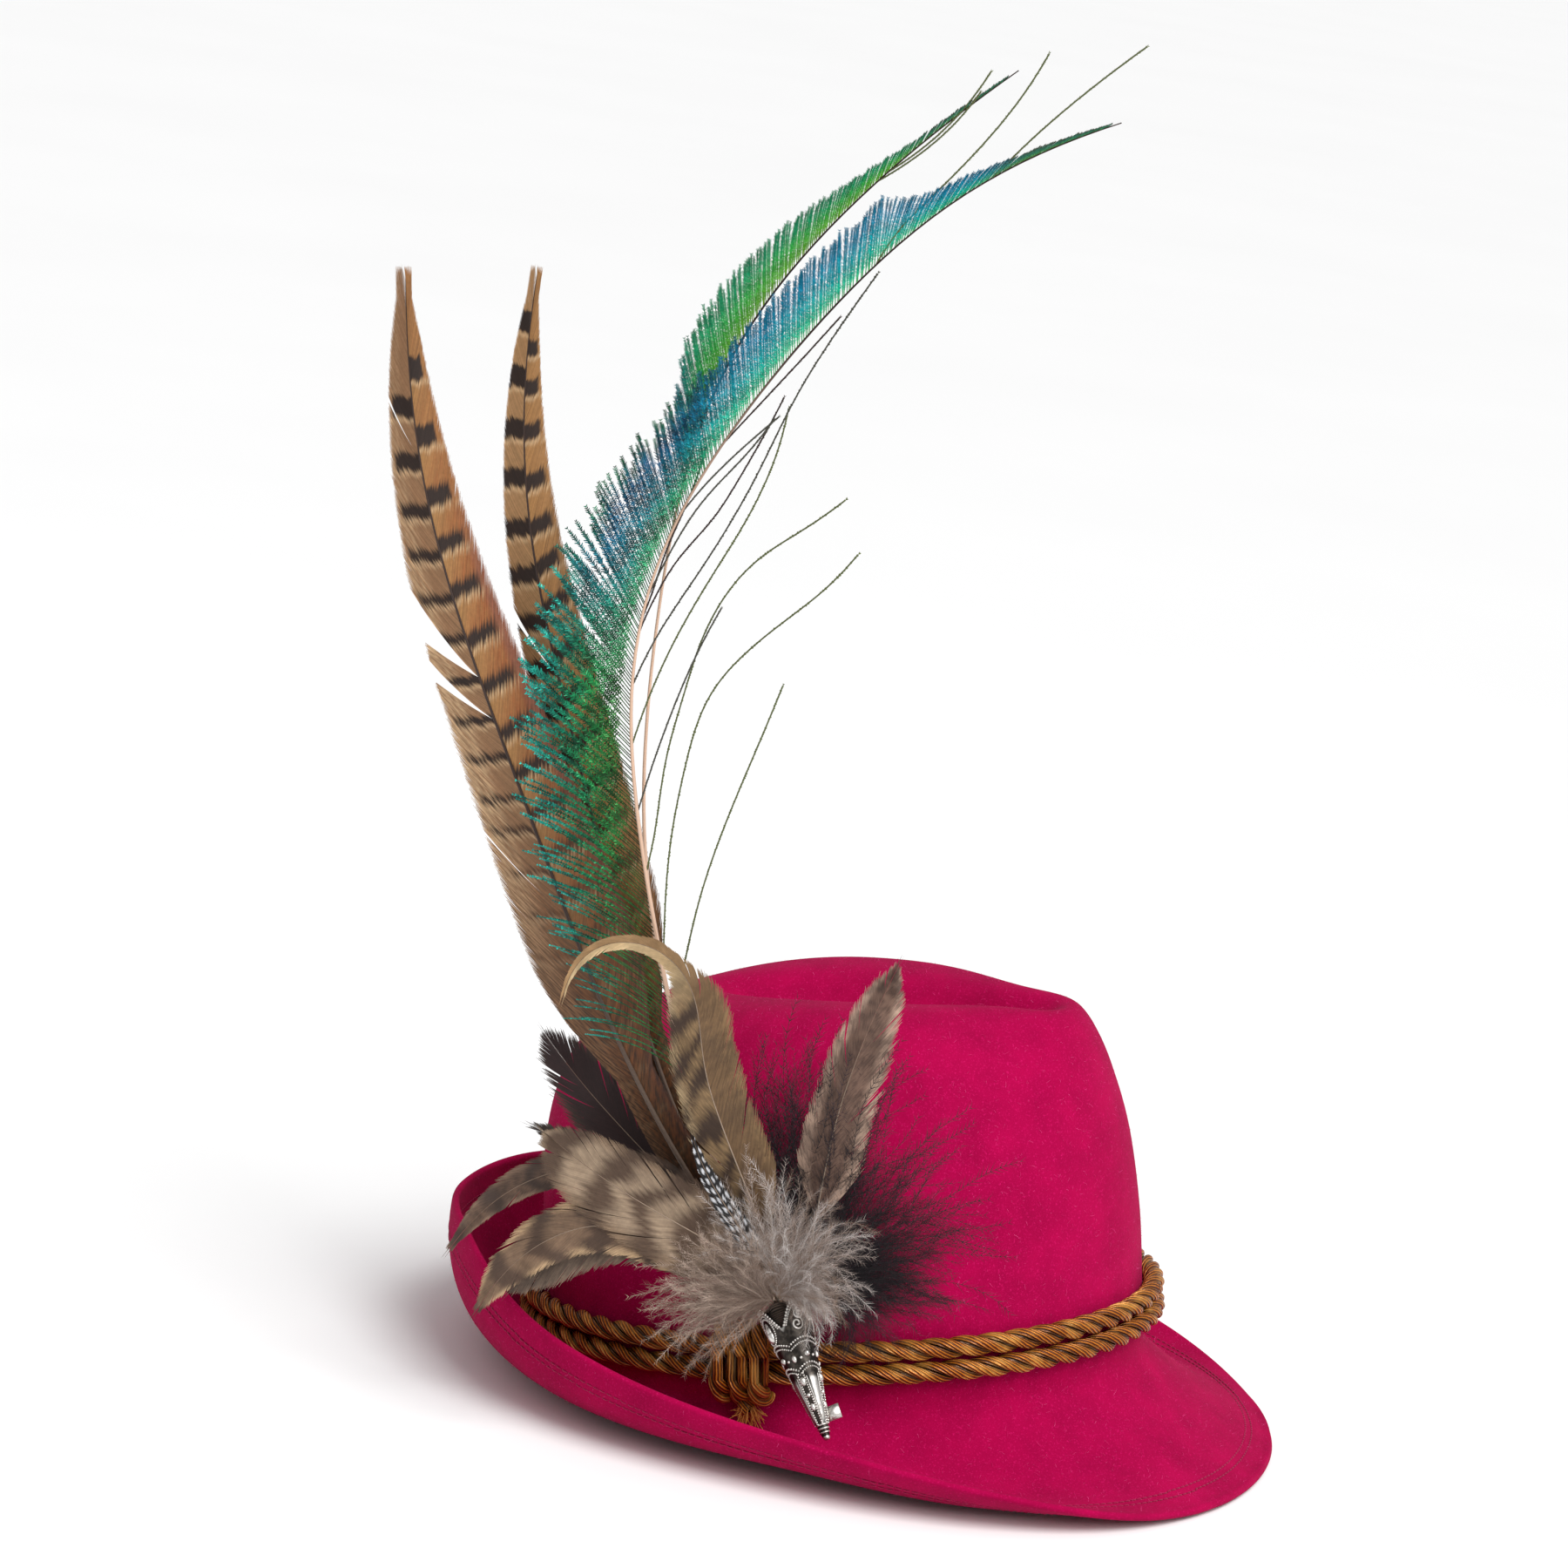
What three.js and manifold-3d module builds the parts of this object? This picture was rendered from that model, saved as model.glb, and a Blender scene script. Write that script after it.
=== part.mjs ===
// A Tyrolean felt hat: a one-piece wool felt body with a dented crown and a snapped brim, two
// twisted ropes knotted round the crown, and a plume of feathers in an ornate silver cone.
// Millimetres and degrees. The hat is drawn as worn: front to -Y, wearer's left to +X, and the
// line where the crown meets the brim at height 0. The last lines set it down on its brim.
import * as THREE from "three";
import { mergeVertices } from "three/addons/utils/BufferGeometryUtils.js";
import Module from "manifold-3d";

const wasm = await Module();
wasm.setup();

// Felt body
const HEAD_LENGTH = 188; // inside of the crown at the brim, front to back
const HEAD_WIDTH = 164; // inside of the crown at the brim, side to side
const CROWN_HEIGHT = 111.5; // brim break to the highest ridge
const FELT = 2.4; // thickness of the felt
const BRIM_WIDTH = 56; // brim break to rim, along the felt
const BREAK_ROLL = 7; // stretch in which the crown wall turns into the brim
const PINCH_AT = 42; // where the crown's sides are pinched, from the front
const PINCH_SPREAD = 22; // how far round a pinch reaches
const FLATTENED = 1; // how much the felt gives where it stands

// Rope band and knot
const ROPE = 6.8; // diameter of each rope
const ROPE_LAY = 27; // length of one full turn of its three plies
const ROPE_VALLEY = 0.66; // depth of the groove between plies, as a share of the radius
const ROPE_LIFT = 5; // lowest rope's underside above the brim break, at the sides
const ROPE_RISE = 1.6; // how much higher the ropes sit at the front, and lower at the back
const KNOT_ROPE = 6.8; // diameter of the rope that wraps the knot
const KNOT_WRAPS = 3;
const KNOT_AT = 263; // where the knot sits, from the front by the wearer's left
const KNOT_OPEN = 82; // how far over and under the ropes the wraps reach, from level
const KNOT_TAIL = 5; // length of the rope end below the knot

// Pin
const PIN_LENGTH = 42; // tip to the points of the petals
const PIN_MOUTH = 6.8; // outer radius at the mouth
const PIN_TIP = 1.1; // radius of the round end
const PIN_WALL = 0.9;
const PIN_PETAL = 8.5; // height of the petals above the mouth
const PIN_PETALS = 4;
const PETAL_TURN = 45; // turn of the first petal from the crown's side
const PIN_FLARE = 0.9; // how far the petals lean out
const PIN_RELIEF = 0.4; // height of the raised ribs and bands
const PIN_AT = 275.5; // where its post meets the upper rope, from the front by the wearer's left
const PIN_SEAT = 0.4; // from the rope's surface to the middle of the post's end
const PIN_BACK = 25; // lean to the back
const PIN_IN = 22; // lean to the crown
const BEAD = 0.62; // radius of the beads of the cast relief
const CLASP_WIDTH = 4.4;
const CLASP_THICK = 0.8;
const CLASP_REACH = 6.2; // how far the clasp plate stands out from the cone's axis
const POST_AT = 0.815; // height of the post, as a share of the mouth's
const POST = 0.8; // radius of the post that goes from the cone to the ropes
const POST_FROM = 5.4; // where the post starts in the cone's wall, from its axis
const POST_LENGTH = 9.2;

// Feathers
const PHEASANT = 336; // length of the longest tail feather
const PHEASANT_VANE = 20; // width of its wider vane
const SWORD = 429; // length of the longest peacock sword
const SWORD_BARB = 44; // length of its longest barbs
const SWORD_STRAND = 125; // length of its longest strand
const HACKLE = 124; // length of the longer drooping feather
const HACKLE_VANE = 9; // width of its wider vane
const DOWN = 56; // length of the longest lock of down
const DOWN_LOCK = 10; // four times the half width of the widest lock
const LAYER = 1.25; // spacing of the plume's layers, out from the crown
const LAYER_START = -1.6; // place of layer 0, out from the cone's axis
const QUILL = 0.45; // half thickness of a feather along its quill
const VANE = 0.32; // half thickness at a vane's edge
const BARE_QUILL = 0.7; // half width of a bare quill
const FAN_LENGTH = 42; // length in which the layers of the plume spread to twice their spacing
const ROOT_GAP = 0.9; // between the binding and the feathers' roots
const GAP = 0.3; // left between pieces that touch

// Mesh steps
const ROUND = 40; // columns round the felt
const FINE_SECTIONS = 5; // sections of the crown's top that get two rows each
const BRIM_STEPS = 100; // steps in which the brim's turn is added up
const TWIST_STEPS = 5; // steps for each turn of a rope
const WRAP_SIDES = 8;

// Sections of the crown, from the crease of its dent out to the brim break. front and back are
// shares of half the head's length, side of half its width, the heights of CROWN_HEIGHT, and
// pinch is the share of the side that the front pinches take in.
const CROWN = [
  { front: 0.5, side: 0, back: 0.24, highFront: 0.87, highSide: 0.85, highBack: 0.89, pinch: 0 },
  { front: 0.61, side: 0.13, back: 0.36, highFront: 0.89, highSide: 0.9, highBack: 0.93, pinch: 0.1 },
  { front: 0.69, side: 0.25, back: 0.46, highFront: 0.92, highSide: 0.97, highBack: 0.97, pinch: 0.28 },
  { front: 0.75, side: 0.37, back: 0.57, highFront: 0.95, highSide: 0.99, highBack: 0.95, pinch: 0.34 },
  { front: 0.79, side: 0.54, back: 0.7, highFront: 0.94, highSide: 0.98, highBack: 0.89, pinch: 0.3 },
  { front: 0.836, side: 0.71, back: 0.835, highFront: 0.88, highSide: 0.9, highBack: 0.84, pinch: 0.22 },
  { front: 0.887, side: 0.84, back: 0.925, highFront: 0.775, highSide: 0.76, highBack: 0.73, pinch: 0.11 },
  { front: 0.947, side: 0.92, back: 0.98, highFront: 0.595, highSide: 0.57, highBack: 0.55, pinch: 0.03 },
  { front: 0.984, side: 0.965, back: 0.99, highFront: 0.36, highSide: 0.35, highBack: 0.34, pinch: 0 },
  { front: 0.994, side: 0.99, back: 0.995, highFront: 0.14, highSide: 0.14, highBack: 0.14, pinch: 0 },
  { front: 1, side: 1, back: 1, highFront: 0, highSide: 0, highBack: 0, pinch: 0 },
];

// How the brim turns, every 30 degrees from the front to the back: its width as a share of
// BRIM_WIDTH, its slope where it leaves the crown and its slope at the rim.
const BRIM = [
  { width: 1.01, leave: -47, rim: -31 },
  { width: 1.045, leave: -47, rim: -19 },
  { width: 1.11, leave: -67, rim: 41 },
  { width: 0.94, leave: -48, rim: 68 },
  { width: 1, leave: -22, rim: 91 },
  { width: 1.11, leave: 7, rim: 111 },
  { width: 1.07, leave: 24, rim: 98 },
];

// Shares of the brim's width that get a row, close together where the felt turns.
const BRIM_STATIONS = [0.05, 0.1, 0.16, 0.29, 0.43, 0.57, 0.71, 0.86, 1];

// Feathers that are a vane on each side of a quill. length is the quill's; left and right are the
// widths of the vanes; lean is the quill's at even steps from its base to its tip, from upright to
// the front; layer is the place in the plume, out from the crown; across is the place of the base
// to the front, in layers; bare is the share of quill below the vanes; taper is how late the vanes
// narrow; cup bends their edges out.
const FEATHERS = [
  {
    name: "pheasant_tail_left", material: "pheasant", length: PHEASANT, lean: [-39, -23, -19, 0],
    left: 0.85 * PHEASANT_VANE, right: PHEASANT_VANE, layer: 0, across: -0.96,
    bare: 0.16, taper: 2.5, cup: 0.4, steps: 14,
  },
  {
    name: "pheasant_tail_right", material: "pheasant", length: 0.97 * PHEASANT, lean: [-36, -16, -13, 9],
    left: 0.6 * PHEASANT_VANE, right: 0.8 * PHEASANT_VANE, layer: -1, across: -0.64,
    bare: 0.2, taper: 2.5, cup: 0.4, steps: 14,
  },
  {
    name: "hackle_dark_upper", material: "darkFeather", length: 0.887 * HACKLE, lean: [-44, -46, -46, -38],
    left: 1.33 * HACKLE_VANE, right: 1.44 * HACKLE_VANE, layer: -2, across: -0.48,
    bare: 0.12, taper: 8, cup: -0.3, steps: 8,
  },
  {
    name: "hackle_dark_lower", material: "darkFeather", length: 0.758 * HACKLE, lean: [-60, -55, -55, -70],
    left: HACKLE_VANE, right: HACKLE_VANE, layer: -3, across: -2.4,
    bare: 0.12, taper: 4, cup: -0.3, steps: 8,
  },
  {
    name: "hackle_twisted", material: "hackle", length: 0.871 * HACKLE, lean: [16, 10, 19, 26],
    left: 0.78 * HACKLE_VANE, right: HACKLE_VANE, layer: -1, across: 2.88,
    bare: 0.2, taper: 3, cup: 0.6, steps: 9,
  },
  {
    name: "hackle_barred", material: "hackle", length: 0.685 * HACKLE, lean: [-26, -58, -56, -47],
    left: 1.56 * HACKLE_VANE, right: 1.44 * HACKLE_VANE, layer: 3, across: -2.08,
    bare: 0.1, taper: 8, cup: 0.3, steps: 8,
  },
  {
    name: "hackle_curled", material: "hackle", length: 1.234 * HACKLE, lean: [-6, -20, -18, -8, -82, -168],
    left: 0.78 * HACKLE_VANE, right: 0.94 * HACKLE_VANE, layer: 4, across: 0.16,
    bare: 0.08, taper: 3, cup: 0.3, steps: 18,
  },
  {
    name: "hackle_droop_upper", material: "hackle", length: HACKLE, lean: [-31, -53, -107, -145],
    left: 0.78 * HACKLE_VANE, right: HACKLE_VANE, layer: 5, across: -2.4,
    bare: 0.12, taper: 2.4, cup: 0.3, steps: 12,
  },
  {
    name: "hackle_droop_lower", material: "hackle", length: 0.831 * HACKLE, lean: [-57, -62, -114, -150],
    left: 0.78 * HACKLE_VANE, right: 0.89 * HACKLE_VANE, layer: 6, across: -1.92,
    bare: 0.12, taper: 2.2, cup: 0.3, steps: 12,
  },
  {
    name: "guinea_feather", material: "darkFeather", length: 0.452 * HACKLE, lean: [-10, -29, -28, -14],
    left: 0.44 * HACKLE_VANE, right: 0.44 * HACKLE_VANE, layer: 7, across: 0.72,
    bare: 0.2, taper: 2.4, cup: 0.2, steps: 6,
  },
];

// Peacock swords: dense herl on the left of the quill, whose edge stands in locks, and a few long
// strands on the right. The herl grows between the shares from and to of the quill; its barbs are
// lowBarb long at the bottom and highBarb at the top, and the strands are strand long.
const SWORDS = [
  {
    name: "peacock_sword_long", length: SWORD, lean: [-28, -13, -3, 31, 47, 72], layer: 2, across: 0,
    locks: 15, from: 0.18, to: 0.93, lowBarb: SWORD_BARB, highBarb: 0.27 * SWORD_BARB,
    strands: 6, strand: SWORD_STRAND,
  },
  {
    name: "peacock_sword_short", length: 0.974 * SWORD, lean: [-26, -17, 2, 14, 42, 55],
    layer: 1, across: 0.88,
    locks: 8, from: 0.62, to: 0.94, lowBarb: 0.41 * SWORD_BARB, highBarb: 0.18 * SWORD_BARB,
    strands: 2, strand: 0.48 * SWORD_STRAND,
  },
];
const SWORD_STEPS = 24;
const BARB_LOW = 58; // turn of a barb off the quill at the bottom
const BARB_HIGH = 38; // and at the top
const NOTCH = 0.8; // length of the barbs between two locks, as a share
const STRAND_FROM = 0.2; // share of the quill where the strands start
const STRAND_TO = 0.72;
const STRAND_TURN = 14; // turn of a strand off the quill where it starts
const STRAND_BEND = 32; // further turn at its end
const STRAND_WIDTH = 0.5; // half width of a strand where it starts

// Tufts of down: locks that fan out from a small backing. first and last are the leans of the
// outer locks; out is how far their ends puff out from the crown.
const TUFTS = [
  {
    name: "down_brown", material: "down", first: -118, last: -38, locks: 7,
    length: 0.5 * DOWN, width: 0.9 * DOWN_LOCK,
    layer: 8.72, across: -0.64, out: 0.14 * DOWN,
  },
  {
    name: "down_grey", material: "down", first: -14, last: 96, locks: 8,
    length: 0.54 * DOWN, width: DOWN_LOCK,
    layer: 8.32, across: 2.56, out: 0.12 * DOWN,
  },
  {
    name: "marabou_black", material: "darkFeather", first: -8, last: 112, locks: 9,
    length: DOWN, width: 0.8 * DOWN_LOCK,
    layer: -3.12, across: 2.4, out: -0.05 * DOWN,
  },
];
const LIP_REACH = 3; // how far the binding stands out between two petals, under the outer quills
const LIP_DEPTH = 2.2;
const LIP_RISE = 0.35;
const BACKING = 2.4; // radius of a tuft's backing
const LOCK_ROOT = 0.25; // half width of a lock at its root and tip

const RADIANS = Math.PI / 180;
const UP = new THREE.Vector3(0, 0, 1);
const OUT = new THREE.Vector3(-1, 0, 0); // away from the crown at the plume
const HALF_LENGTH = (HEAD_LENGTH + FELT) / 2; // to the middle of the felt
const HALF_WIDTH = (HEAD_WIDTH + FELT) / 2;
const BREAK_ROW = CROWN.length - 1;

const MATERIALS = {
  felt: new THREE.MeshStandardMaterial({ color: 0xc0085c, roughness: 0.95, metalness: 0 }),
  rope: new THREE.MeshStandardMaterial({ color: 0x9a5a1e, roughness: 0.45, metalness: 0 }),
  silver: new THREE.MeshStandardMaterial({ color: 0x9a948a, roughness: 0.35, metalness: 1 }),
  thread: new THREE.MeshStandardMaterial({ color: 0x2a2220, roughness: 0.8, metalness: 0 }),
  pheasant: new THREE.MeshStandardMaterial({ color: 0x9a7048, roughness: 0.7, metalness: 0 }),
  peacock: new THREE.MeshStandardMaterial({ color: 0x0f7f74, roughness: 0.4, metalness: 0.2 }),
  hackle: new THREE.MeshStandardMaterial({ color: 0x75604a, roughness: 0.7, metalness: 0 }),
  darkFeather: new THREE.MeshStandardMaterial({ color: 0x35261f, roughness: 0.6, metalness: 0 }),
  down: new THREE.MeshStandardMaterial({ color: 0x9c8b80, roughness: 0.9, metalness: 0 }),
};

function columnsOf(rows) {
  return Object.fromEntries(Object.keys(rows[0]).map((key) => [key, rows.map((row) => row[key])]));
}

const crown = columnsOf(CROWN);
const brim = columnsOf(BRIM);

// Value at place t on a smooth curve through evenly spaced values, the first at 0.
function along(values, t, mirrored = false) {
  const last = values.length - 1;
  const i = Math.min(Math.floor(t), last - 1);
  const f = t - i;
  const mirror = (k) => last - Math.abs(last - Math.abs(k));
  const stop = (k) => Math.min(Math.max(k, 0), last);
  const [a, b, c, d] = [i - 1, i, i + 1, i + 2].map((k) => values[mirrored ? mirror(k) : stop(k)]);
  return b + 0.5 * f * (c - a + f * (2 * a - 5 * b + 4 * c - d + f * (3 * (b - c) + d - a)));
}

function smooth(t) {
  const x = Math.min(Math.max(t, 0), 1);
  return x * x * (3 - 2 * x);
}

// The list of make(0), make(1) and so on.
function list(count, make) {
  return Array.from({ length: count }, (_, i) => make(i));
}

// A closed mesh from vertices and triangles, with its faces turned outwards.
function closedGeometry(points, triangles) {
  let volume = 0;
  for (let i = 0; i < triangles.length; i += 3) {
    const [a, b, c] = [points[triangles[i]], points[triangles[i + 1]], points[triangles[i + 2]]];
    volume += a.dot(new THREE.Vector3().crossVectors(b, c));
  }
  const turned = volume < 0 ? triangles.toReversed() : triangles;
  return new THREE.BufferGeometry().setFromPoints(points).setIndex(turned);
}

// Skin over rings of equally many points: the rings close on themselves if looped, and otherwise
// each end is closed by a fan.
function loft(rings, looped = false) {
  const n = rings[0].length;
  const triangles = [];
  const bands = looped ? rings.length : rings.length - 1;
  for (let i = 0; i < bands; i++) {
    const [low, high] = [i * n, ((i + 1) % rings.length) * n];
    for (let j = 0; j < n; j++) {
      const k = (j + 1) % n;
      triangles.push(low + j, low + k, high + k, low + j, high + k, high + j);
    }
  }
  if (!looped) {
    const top = (rings.length - 1) * n;
    for (let j = 1; j < n - 1; j++) triangles.push(0, j + 1, j, top, top + j, top + j + 1);
  }
  return closedGeometry(rings.flat(), triangles);
}

function solidOf(geometry) {
  const bare = new THREE.BufferGeometry().setAttribute("position", geometry.getAttribute("position"));
  if (geometry.index) bare.setIndex(geometry.index);
  const merged = mergeVertices(bare, 1e-4);
  const triVerts = new Uint32Array(merged.index.array);
  const vertProperties = merged.attributes.position.array;
  return new wasm.Manifold(new wasm.Mesh({ numProp: 3, vertProperties, triVerts }));
}

// One geometry from several that run into each other.
function fuse(geometries) {
  const solid = geometries.map(solidOf).reduce((all, next) => all.add(next));
  const mesh = solid.getMesh();
  return new THREE.BufferGeometry()
    .setAttribute("position", new THREE.BufferAttribute(mesh.vertProperties, 3))
    .setIndex(new THREE.BufferAttribute(mesh.triVerts, 1));
}

// A ring of points round a middle, in the plane of two directions.
function ringAt(middle, first, second, sides, radiusAt) {
  return list(sides, (k) => {
    const turn = (k / sides) * 2 * Math.PI;
    const radius = radiusAt(k);
    return middle
      .clone()
      .addScaledVector(first, radius * Math.cos(turn))
      .addScaledVector(second, radius * Math.sin(turn));
  });
}

// Degrees from the front, 0 to 180, on either side.
function fromFront(round) {
  return Math.acos(Math.cos(round)) / RADIANS;
}

// Level direction straight out from the crown's outline.
function outward(round) {
  return new THREE.Vector3(Math.sin(round) / HALF_WIDTH, -Math.cos(round) / HALF_LENGTH, 0).normalize();
}

// Middle of the crown's felt at place t of its table, counted in rows.
function crownPoint(t, round) {
  const ahead = Math.cos(round) > 0;
  const reach = along(ahead ? crown.front : crown.back, t);
  const endHeight = along(ahead ? crown.highFront : crown.highBack, t);
  const sideHeight = along(crown.highSide, t);
  const offPinch = (fromFront(round) - PINCH_AT) / PINCH_SPREAD;
  const pinch = along(crown.pinch, t) * Math.exp(-(offPinch ** 2));
  return new THREE.Vector3(
    HALF_WIDTH * along(crown.side, t) * Math.sin(round) * (1 - pinch),
    -HALF_LENGTH * reach * Math.cos(round),
    CROWN_HEIGHT * (sideHeight + (endHeight - sideHeight) * Math.cos(round) ** 2),
  );
}

// Middle of the crown's wall at a height near the brim break.
function wallPoint(height, round) {
  let [above, below] = [BREAK_ROW - 3, BREAK_ROW];
  for (let i = 0; i < 24; i++) {
    const t = (above + below) / 2;
    if (crownPoint(t, round).z > height) above = t;
    else below = t;
  }
  return crownPoint(below, round);
}

// Middle of the brim's felt at one place round, in even steps from the break to the rim.
function brimPoints(round) {
  const place = (fromFront(round) / 180) * (BRIM.length - 1);
  const width = BRIM_WIDTH * along(brim.width, place, true);
  const leave = along(brim.leave, place, true);
  const rim = along(brim.rim, place, true);
  const out = outward(round);
  const step = width / BRIM_STEPS;
  const at = crownPoint(BREAK_ROW, round);
  const points = [at.clone()];
  for (let i = 0; i < BRIM_STEPS; i++) {
    const run = (i + 0.5) * step;
    const broken = smooth(run / BREAK_ROLL);
    const curled = Math.max(0, (run - BREAK_ROLL) / (width - BREAK_ROLL));
    const slope = (-90 + (leave + 90) * broken + (rim - leave) * curled) * RADIANS;
    at.addScaledVector(out, step * Math.cos(slope));
    at.z += step * Math.sin(slope);
    points.push(at.clone());
  }
  return points;
}

// Middle of the felt as rows of points, from the crease of the dent to the rim.
function feltRows() {
  const rounds = list(ROUND, (j) => (j / ROUND) * 2 * Math.PI);
  const fine = list(FINE_SECTIONS * 2, (i) => i / 2);
  const coarse = list(CROWN.length - FINE_SECTIONS, (i) => FINE_SECTIONS + i);
  const crownRows = [...fine, ...coarse].map((t) => rounds.map((round) => crownPoint(t, round)));
  const brims = rounds.map((round) => brimPoints(round));
  const steps = BRIM_STATIONS.map((share) => Math.round(share * BRIM_STEPS));
  const brimRows = steps.map((step) => brims.map((points) => points[step]));
  return [...crownRows, ...brimRows];
}

// Direction out of the felt, at each point of its rows.
function feltNormals(rows) {
  const normals = rows.map((row, i) =>
    row.map((_, j) => {
      const across = row[(j + 1) % ROUND].clone().sub(row[(j + ROUND - 1) % ROUND]);
      const above = rows[Math.max(i - 1, 0)][j];
      const below = rows[Math.min(i + 1, rows.length - 1)][j];
      return below.clone().sub(above).cross(across).normalize();
    }),
  );
  // the crease lies on the hat's middle, where both sides share their points
  normals[0] = normals[1].map((n) => new THREE.Vector3(0, n.y, n.z).normalize());
  return normals;
}

// The plane that the hat stands on, as a direction and a height: it leans only to the front or
// back, and touches the brim on both sides of the hat's middle.
function restPlane(points) {
  const foot = [];
  const bends = (a, b, c) => (b.y - a.y) * (c.z - a.z) - (b.z - a.z) * (c.y - a.y) <= 0;
  for (const p of [...points].sort((a, b) => a.y - b.y)) {
    while (foot.length > 1 && bends(foot.at(-2), foot.at(-1), p)) foot.pop();
    foot.push(p);
  }
  const behind = foot.findIndex((p) => p.y > 0);
  const [front, back] = [foot[behind - 1], foot[behind]];
  const pitch = Math.atan2(back.z - front.z, back.y - front.y);
  const normal = new THREE.Vector3(0, -Math.sin(pitch), Math.cos(pitch));
  return { pitch, normal, height: normal.dot(front) + FLATTENED };
}

function feltBody() {
  const rows = feltRows();
  const normals = feltNormals(rows);
  const rim = rows.length - 1;
  const offset = (distance) =>
    rows.map((row, i) => row.map((p, j) => p.clone().addScaledVector(normals[i][j], distance)));
  const [outer, inner] = [offset(FELT / 2), offset(-FELT / 2)];
  const edge = rows[rim].map((p, j) => {
    const ahead = p.clone().sub(rows[rim - 1][j]).normalize();
    return p.clone().addScaledVector(ahead, FELT / 2);
  });
  const plane = restPlane([...inner.slice(rim - BRIM_STATIONS.length).flat(), ...edge]);
  const sunk = (p) => Math.max(0, plane.height - plane.normal.dot(p));
  inner.forEach((row, i) =>
    row.forEach((p, j) => {
      const lift = sunk(p);
      p.addScaledVector(plane.normal, lift);
      outer[i][j].addScaledVector(plane.normal, lift);
    }),
  );
  for (const p of edge) p.addScaledVector(plane.normal, sunk(p));
  const skins = [...outer, edge, ...inner.toReversed()];
  const triangles = [];
  for (let i = 0; i < skins.length - 1; i++) {
    for (let j = 0; j < ROUND; j++) {
      const [a, b] = [i * ROUND + j, i * ROUND + ((j + 1) % ROUND)];
      triangles.push(a, b, b + ROUND, a, b + ROUND, a + ROUND);
    }
  }
  return { geometry: closedGeometry(skins.flat(), triangles), plane };
}

// Middle of a rope round the crown: level 0 is the lower one and 1 the upper one.
function ropeCentre(level, round) {
  const height = ROPE_LIFT + ROPE_RISE * Math.cos(round) + ROPE / 2 + level * (ROPE + GAP);
  return wallPoint(height, round).addScaledVector(outward(round), FELT / 2 + GAP + ROPE / 2);
}

// A three-ply rope, closed round the crown. A ply faces out where the pin's post meets it.
function ropeBand(level) {
  const around = Math.PI * (HALF_LENGTH + HALF_WIDTH + FELT + ROPE);
  const steps = Math.round(around / ROPE_LAY) * TWIST_STEPS;
  const rings = list(steps, (i) => {
    const round = PIN_AT * RADIANS + (i / steps) * 2 * Math.PI;
    const twist = (i / TWIST_STEPS) * 2 * Math.PI;
    const out = outward(round).multiplyScalar(Math.cos(twist)).addScaledVector(UP, Math.sin(twist));
    const up = outward(round).multiplyScalar(-Math.sin(twist)).addScaledVector(UP, Math.cos(twist));
    const radiusAt = (k) => (ROPE / 2) * (k % 2 ? ROPE_VALLEY : 1);
    return ringAt(ropeCentre(level, round), out, up, 6, radiusAt);
  });
  return loft(rings, true);
}

// The rope that wraps both ropes: turns side by side, open behind, and one end hanging below.
function knot() {
  const round = KNOT_AT * RADIANS;
  const out = outward(round);
  const side = new THREE.Vector3().crossVectors(UP, out);
  const [lower, upper] = [ropeCentre(0, round), ropeCentre(1, round)];
  const reach = ROPE / 2 + GAP + KNOT_ROPE / 2;
  const radius = KNOT_ROPE / 2;
  const places = [1, 0.5, 0].map((share) => ({ centre: upper, turn: KNOT_OPEN * share }));
  places.push(...[0, -0.5, -1].map((share) => ({ centre: lower, turn: KNOT_OPEN * share })));
  const wraps = list(KNOT_WRAPS, (w) => {
    const shift = (w - (KNOT_WRAPS - 1) / 2) * KNOT_ROPE * 0.9;
    const rings = places.map(({ centre, turn }) => {
      const arm = out
        .clone()
        .multiplyScalar(Math.cos(turn * RADIANS))
        .addScaledVector(UP, Math.sin(turn * RADIANS));
      const middle = centre.clone().addScaledVector(arm, reach).addScaledVector(side, shift);
      return ringAt(middle, arm, side, WRAP_SIDES, () => radius);
    });
    return loft(rings);
  });
  const root = lower.clone().addScaledVector(UP, -reach).addScaledVector(out, radius * 0.7);
  const tail = loft(
    [0, 1].map((share) => {
      const middle = root.clone().addScaledVector(UP, -KNOT_TAIL * share).addScaledVector(out, 2 * share);
      return ringAt(middle, out, side, WRAP_SIDES, () => radius * 0.85);
    }),
  );
  return fuse([...wraps, tail]);
}

// The pin hangs from the upper rope: its directions along the cone, to the crown and to the back,
// and its tip.
const pinAxis = new THREE.Vector3(Math.tan(PIN_IN * RADIANS), Math.tan(PIN_BACK * RADIANS), 1).normalize();
const pinInward = OUT.clone().negate().projectOnPlane(pinAxis).normalize();
const pinBackward = new THREE.Vector3().crossVectors(pinAxis, pinInward);
const mouthHeight = PIN_LENGTH - PIN_PETAL;
const pinTip = ropeCentre(1, PIN_AT * RADIANS)
  .addScaledVector(outward(PIN_AT * RADIANS), ROPE / 2 + PIN_SEAT)
  .addScaledVector(pinInward, -POST_FROM - POST_LENGTH)
  .addScaledVector(pinAxis, -mouthHeight * POST_AT);
const bindingTop = PIN_LENGTH + GAP;

// How far out from the cone's axis a feather's layer lies.
function layerPlace(f) {
  return LAYER_START + f.layer * LAYER;
}

// A place above the cone's petals where a feather starts.
function rootPoint(f) {
  return pinTip
    .clone()
    .addScaledVector(pinAxis, bindingTop + ROOT_GAP)
    .addScaledVector(pinInward, -layerPlace(f))
    .addScaledVector(pinBackward, -f.across * LAYER);
}

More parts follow.
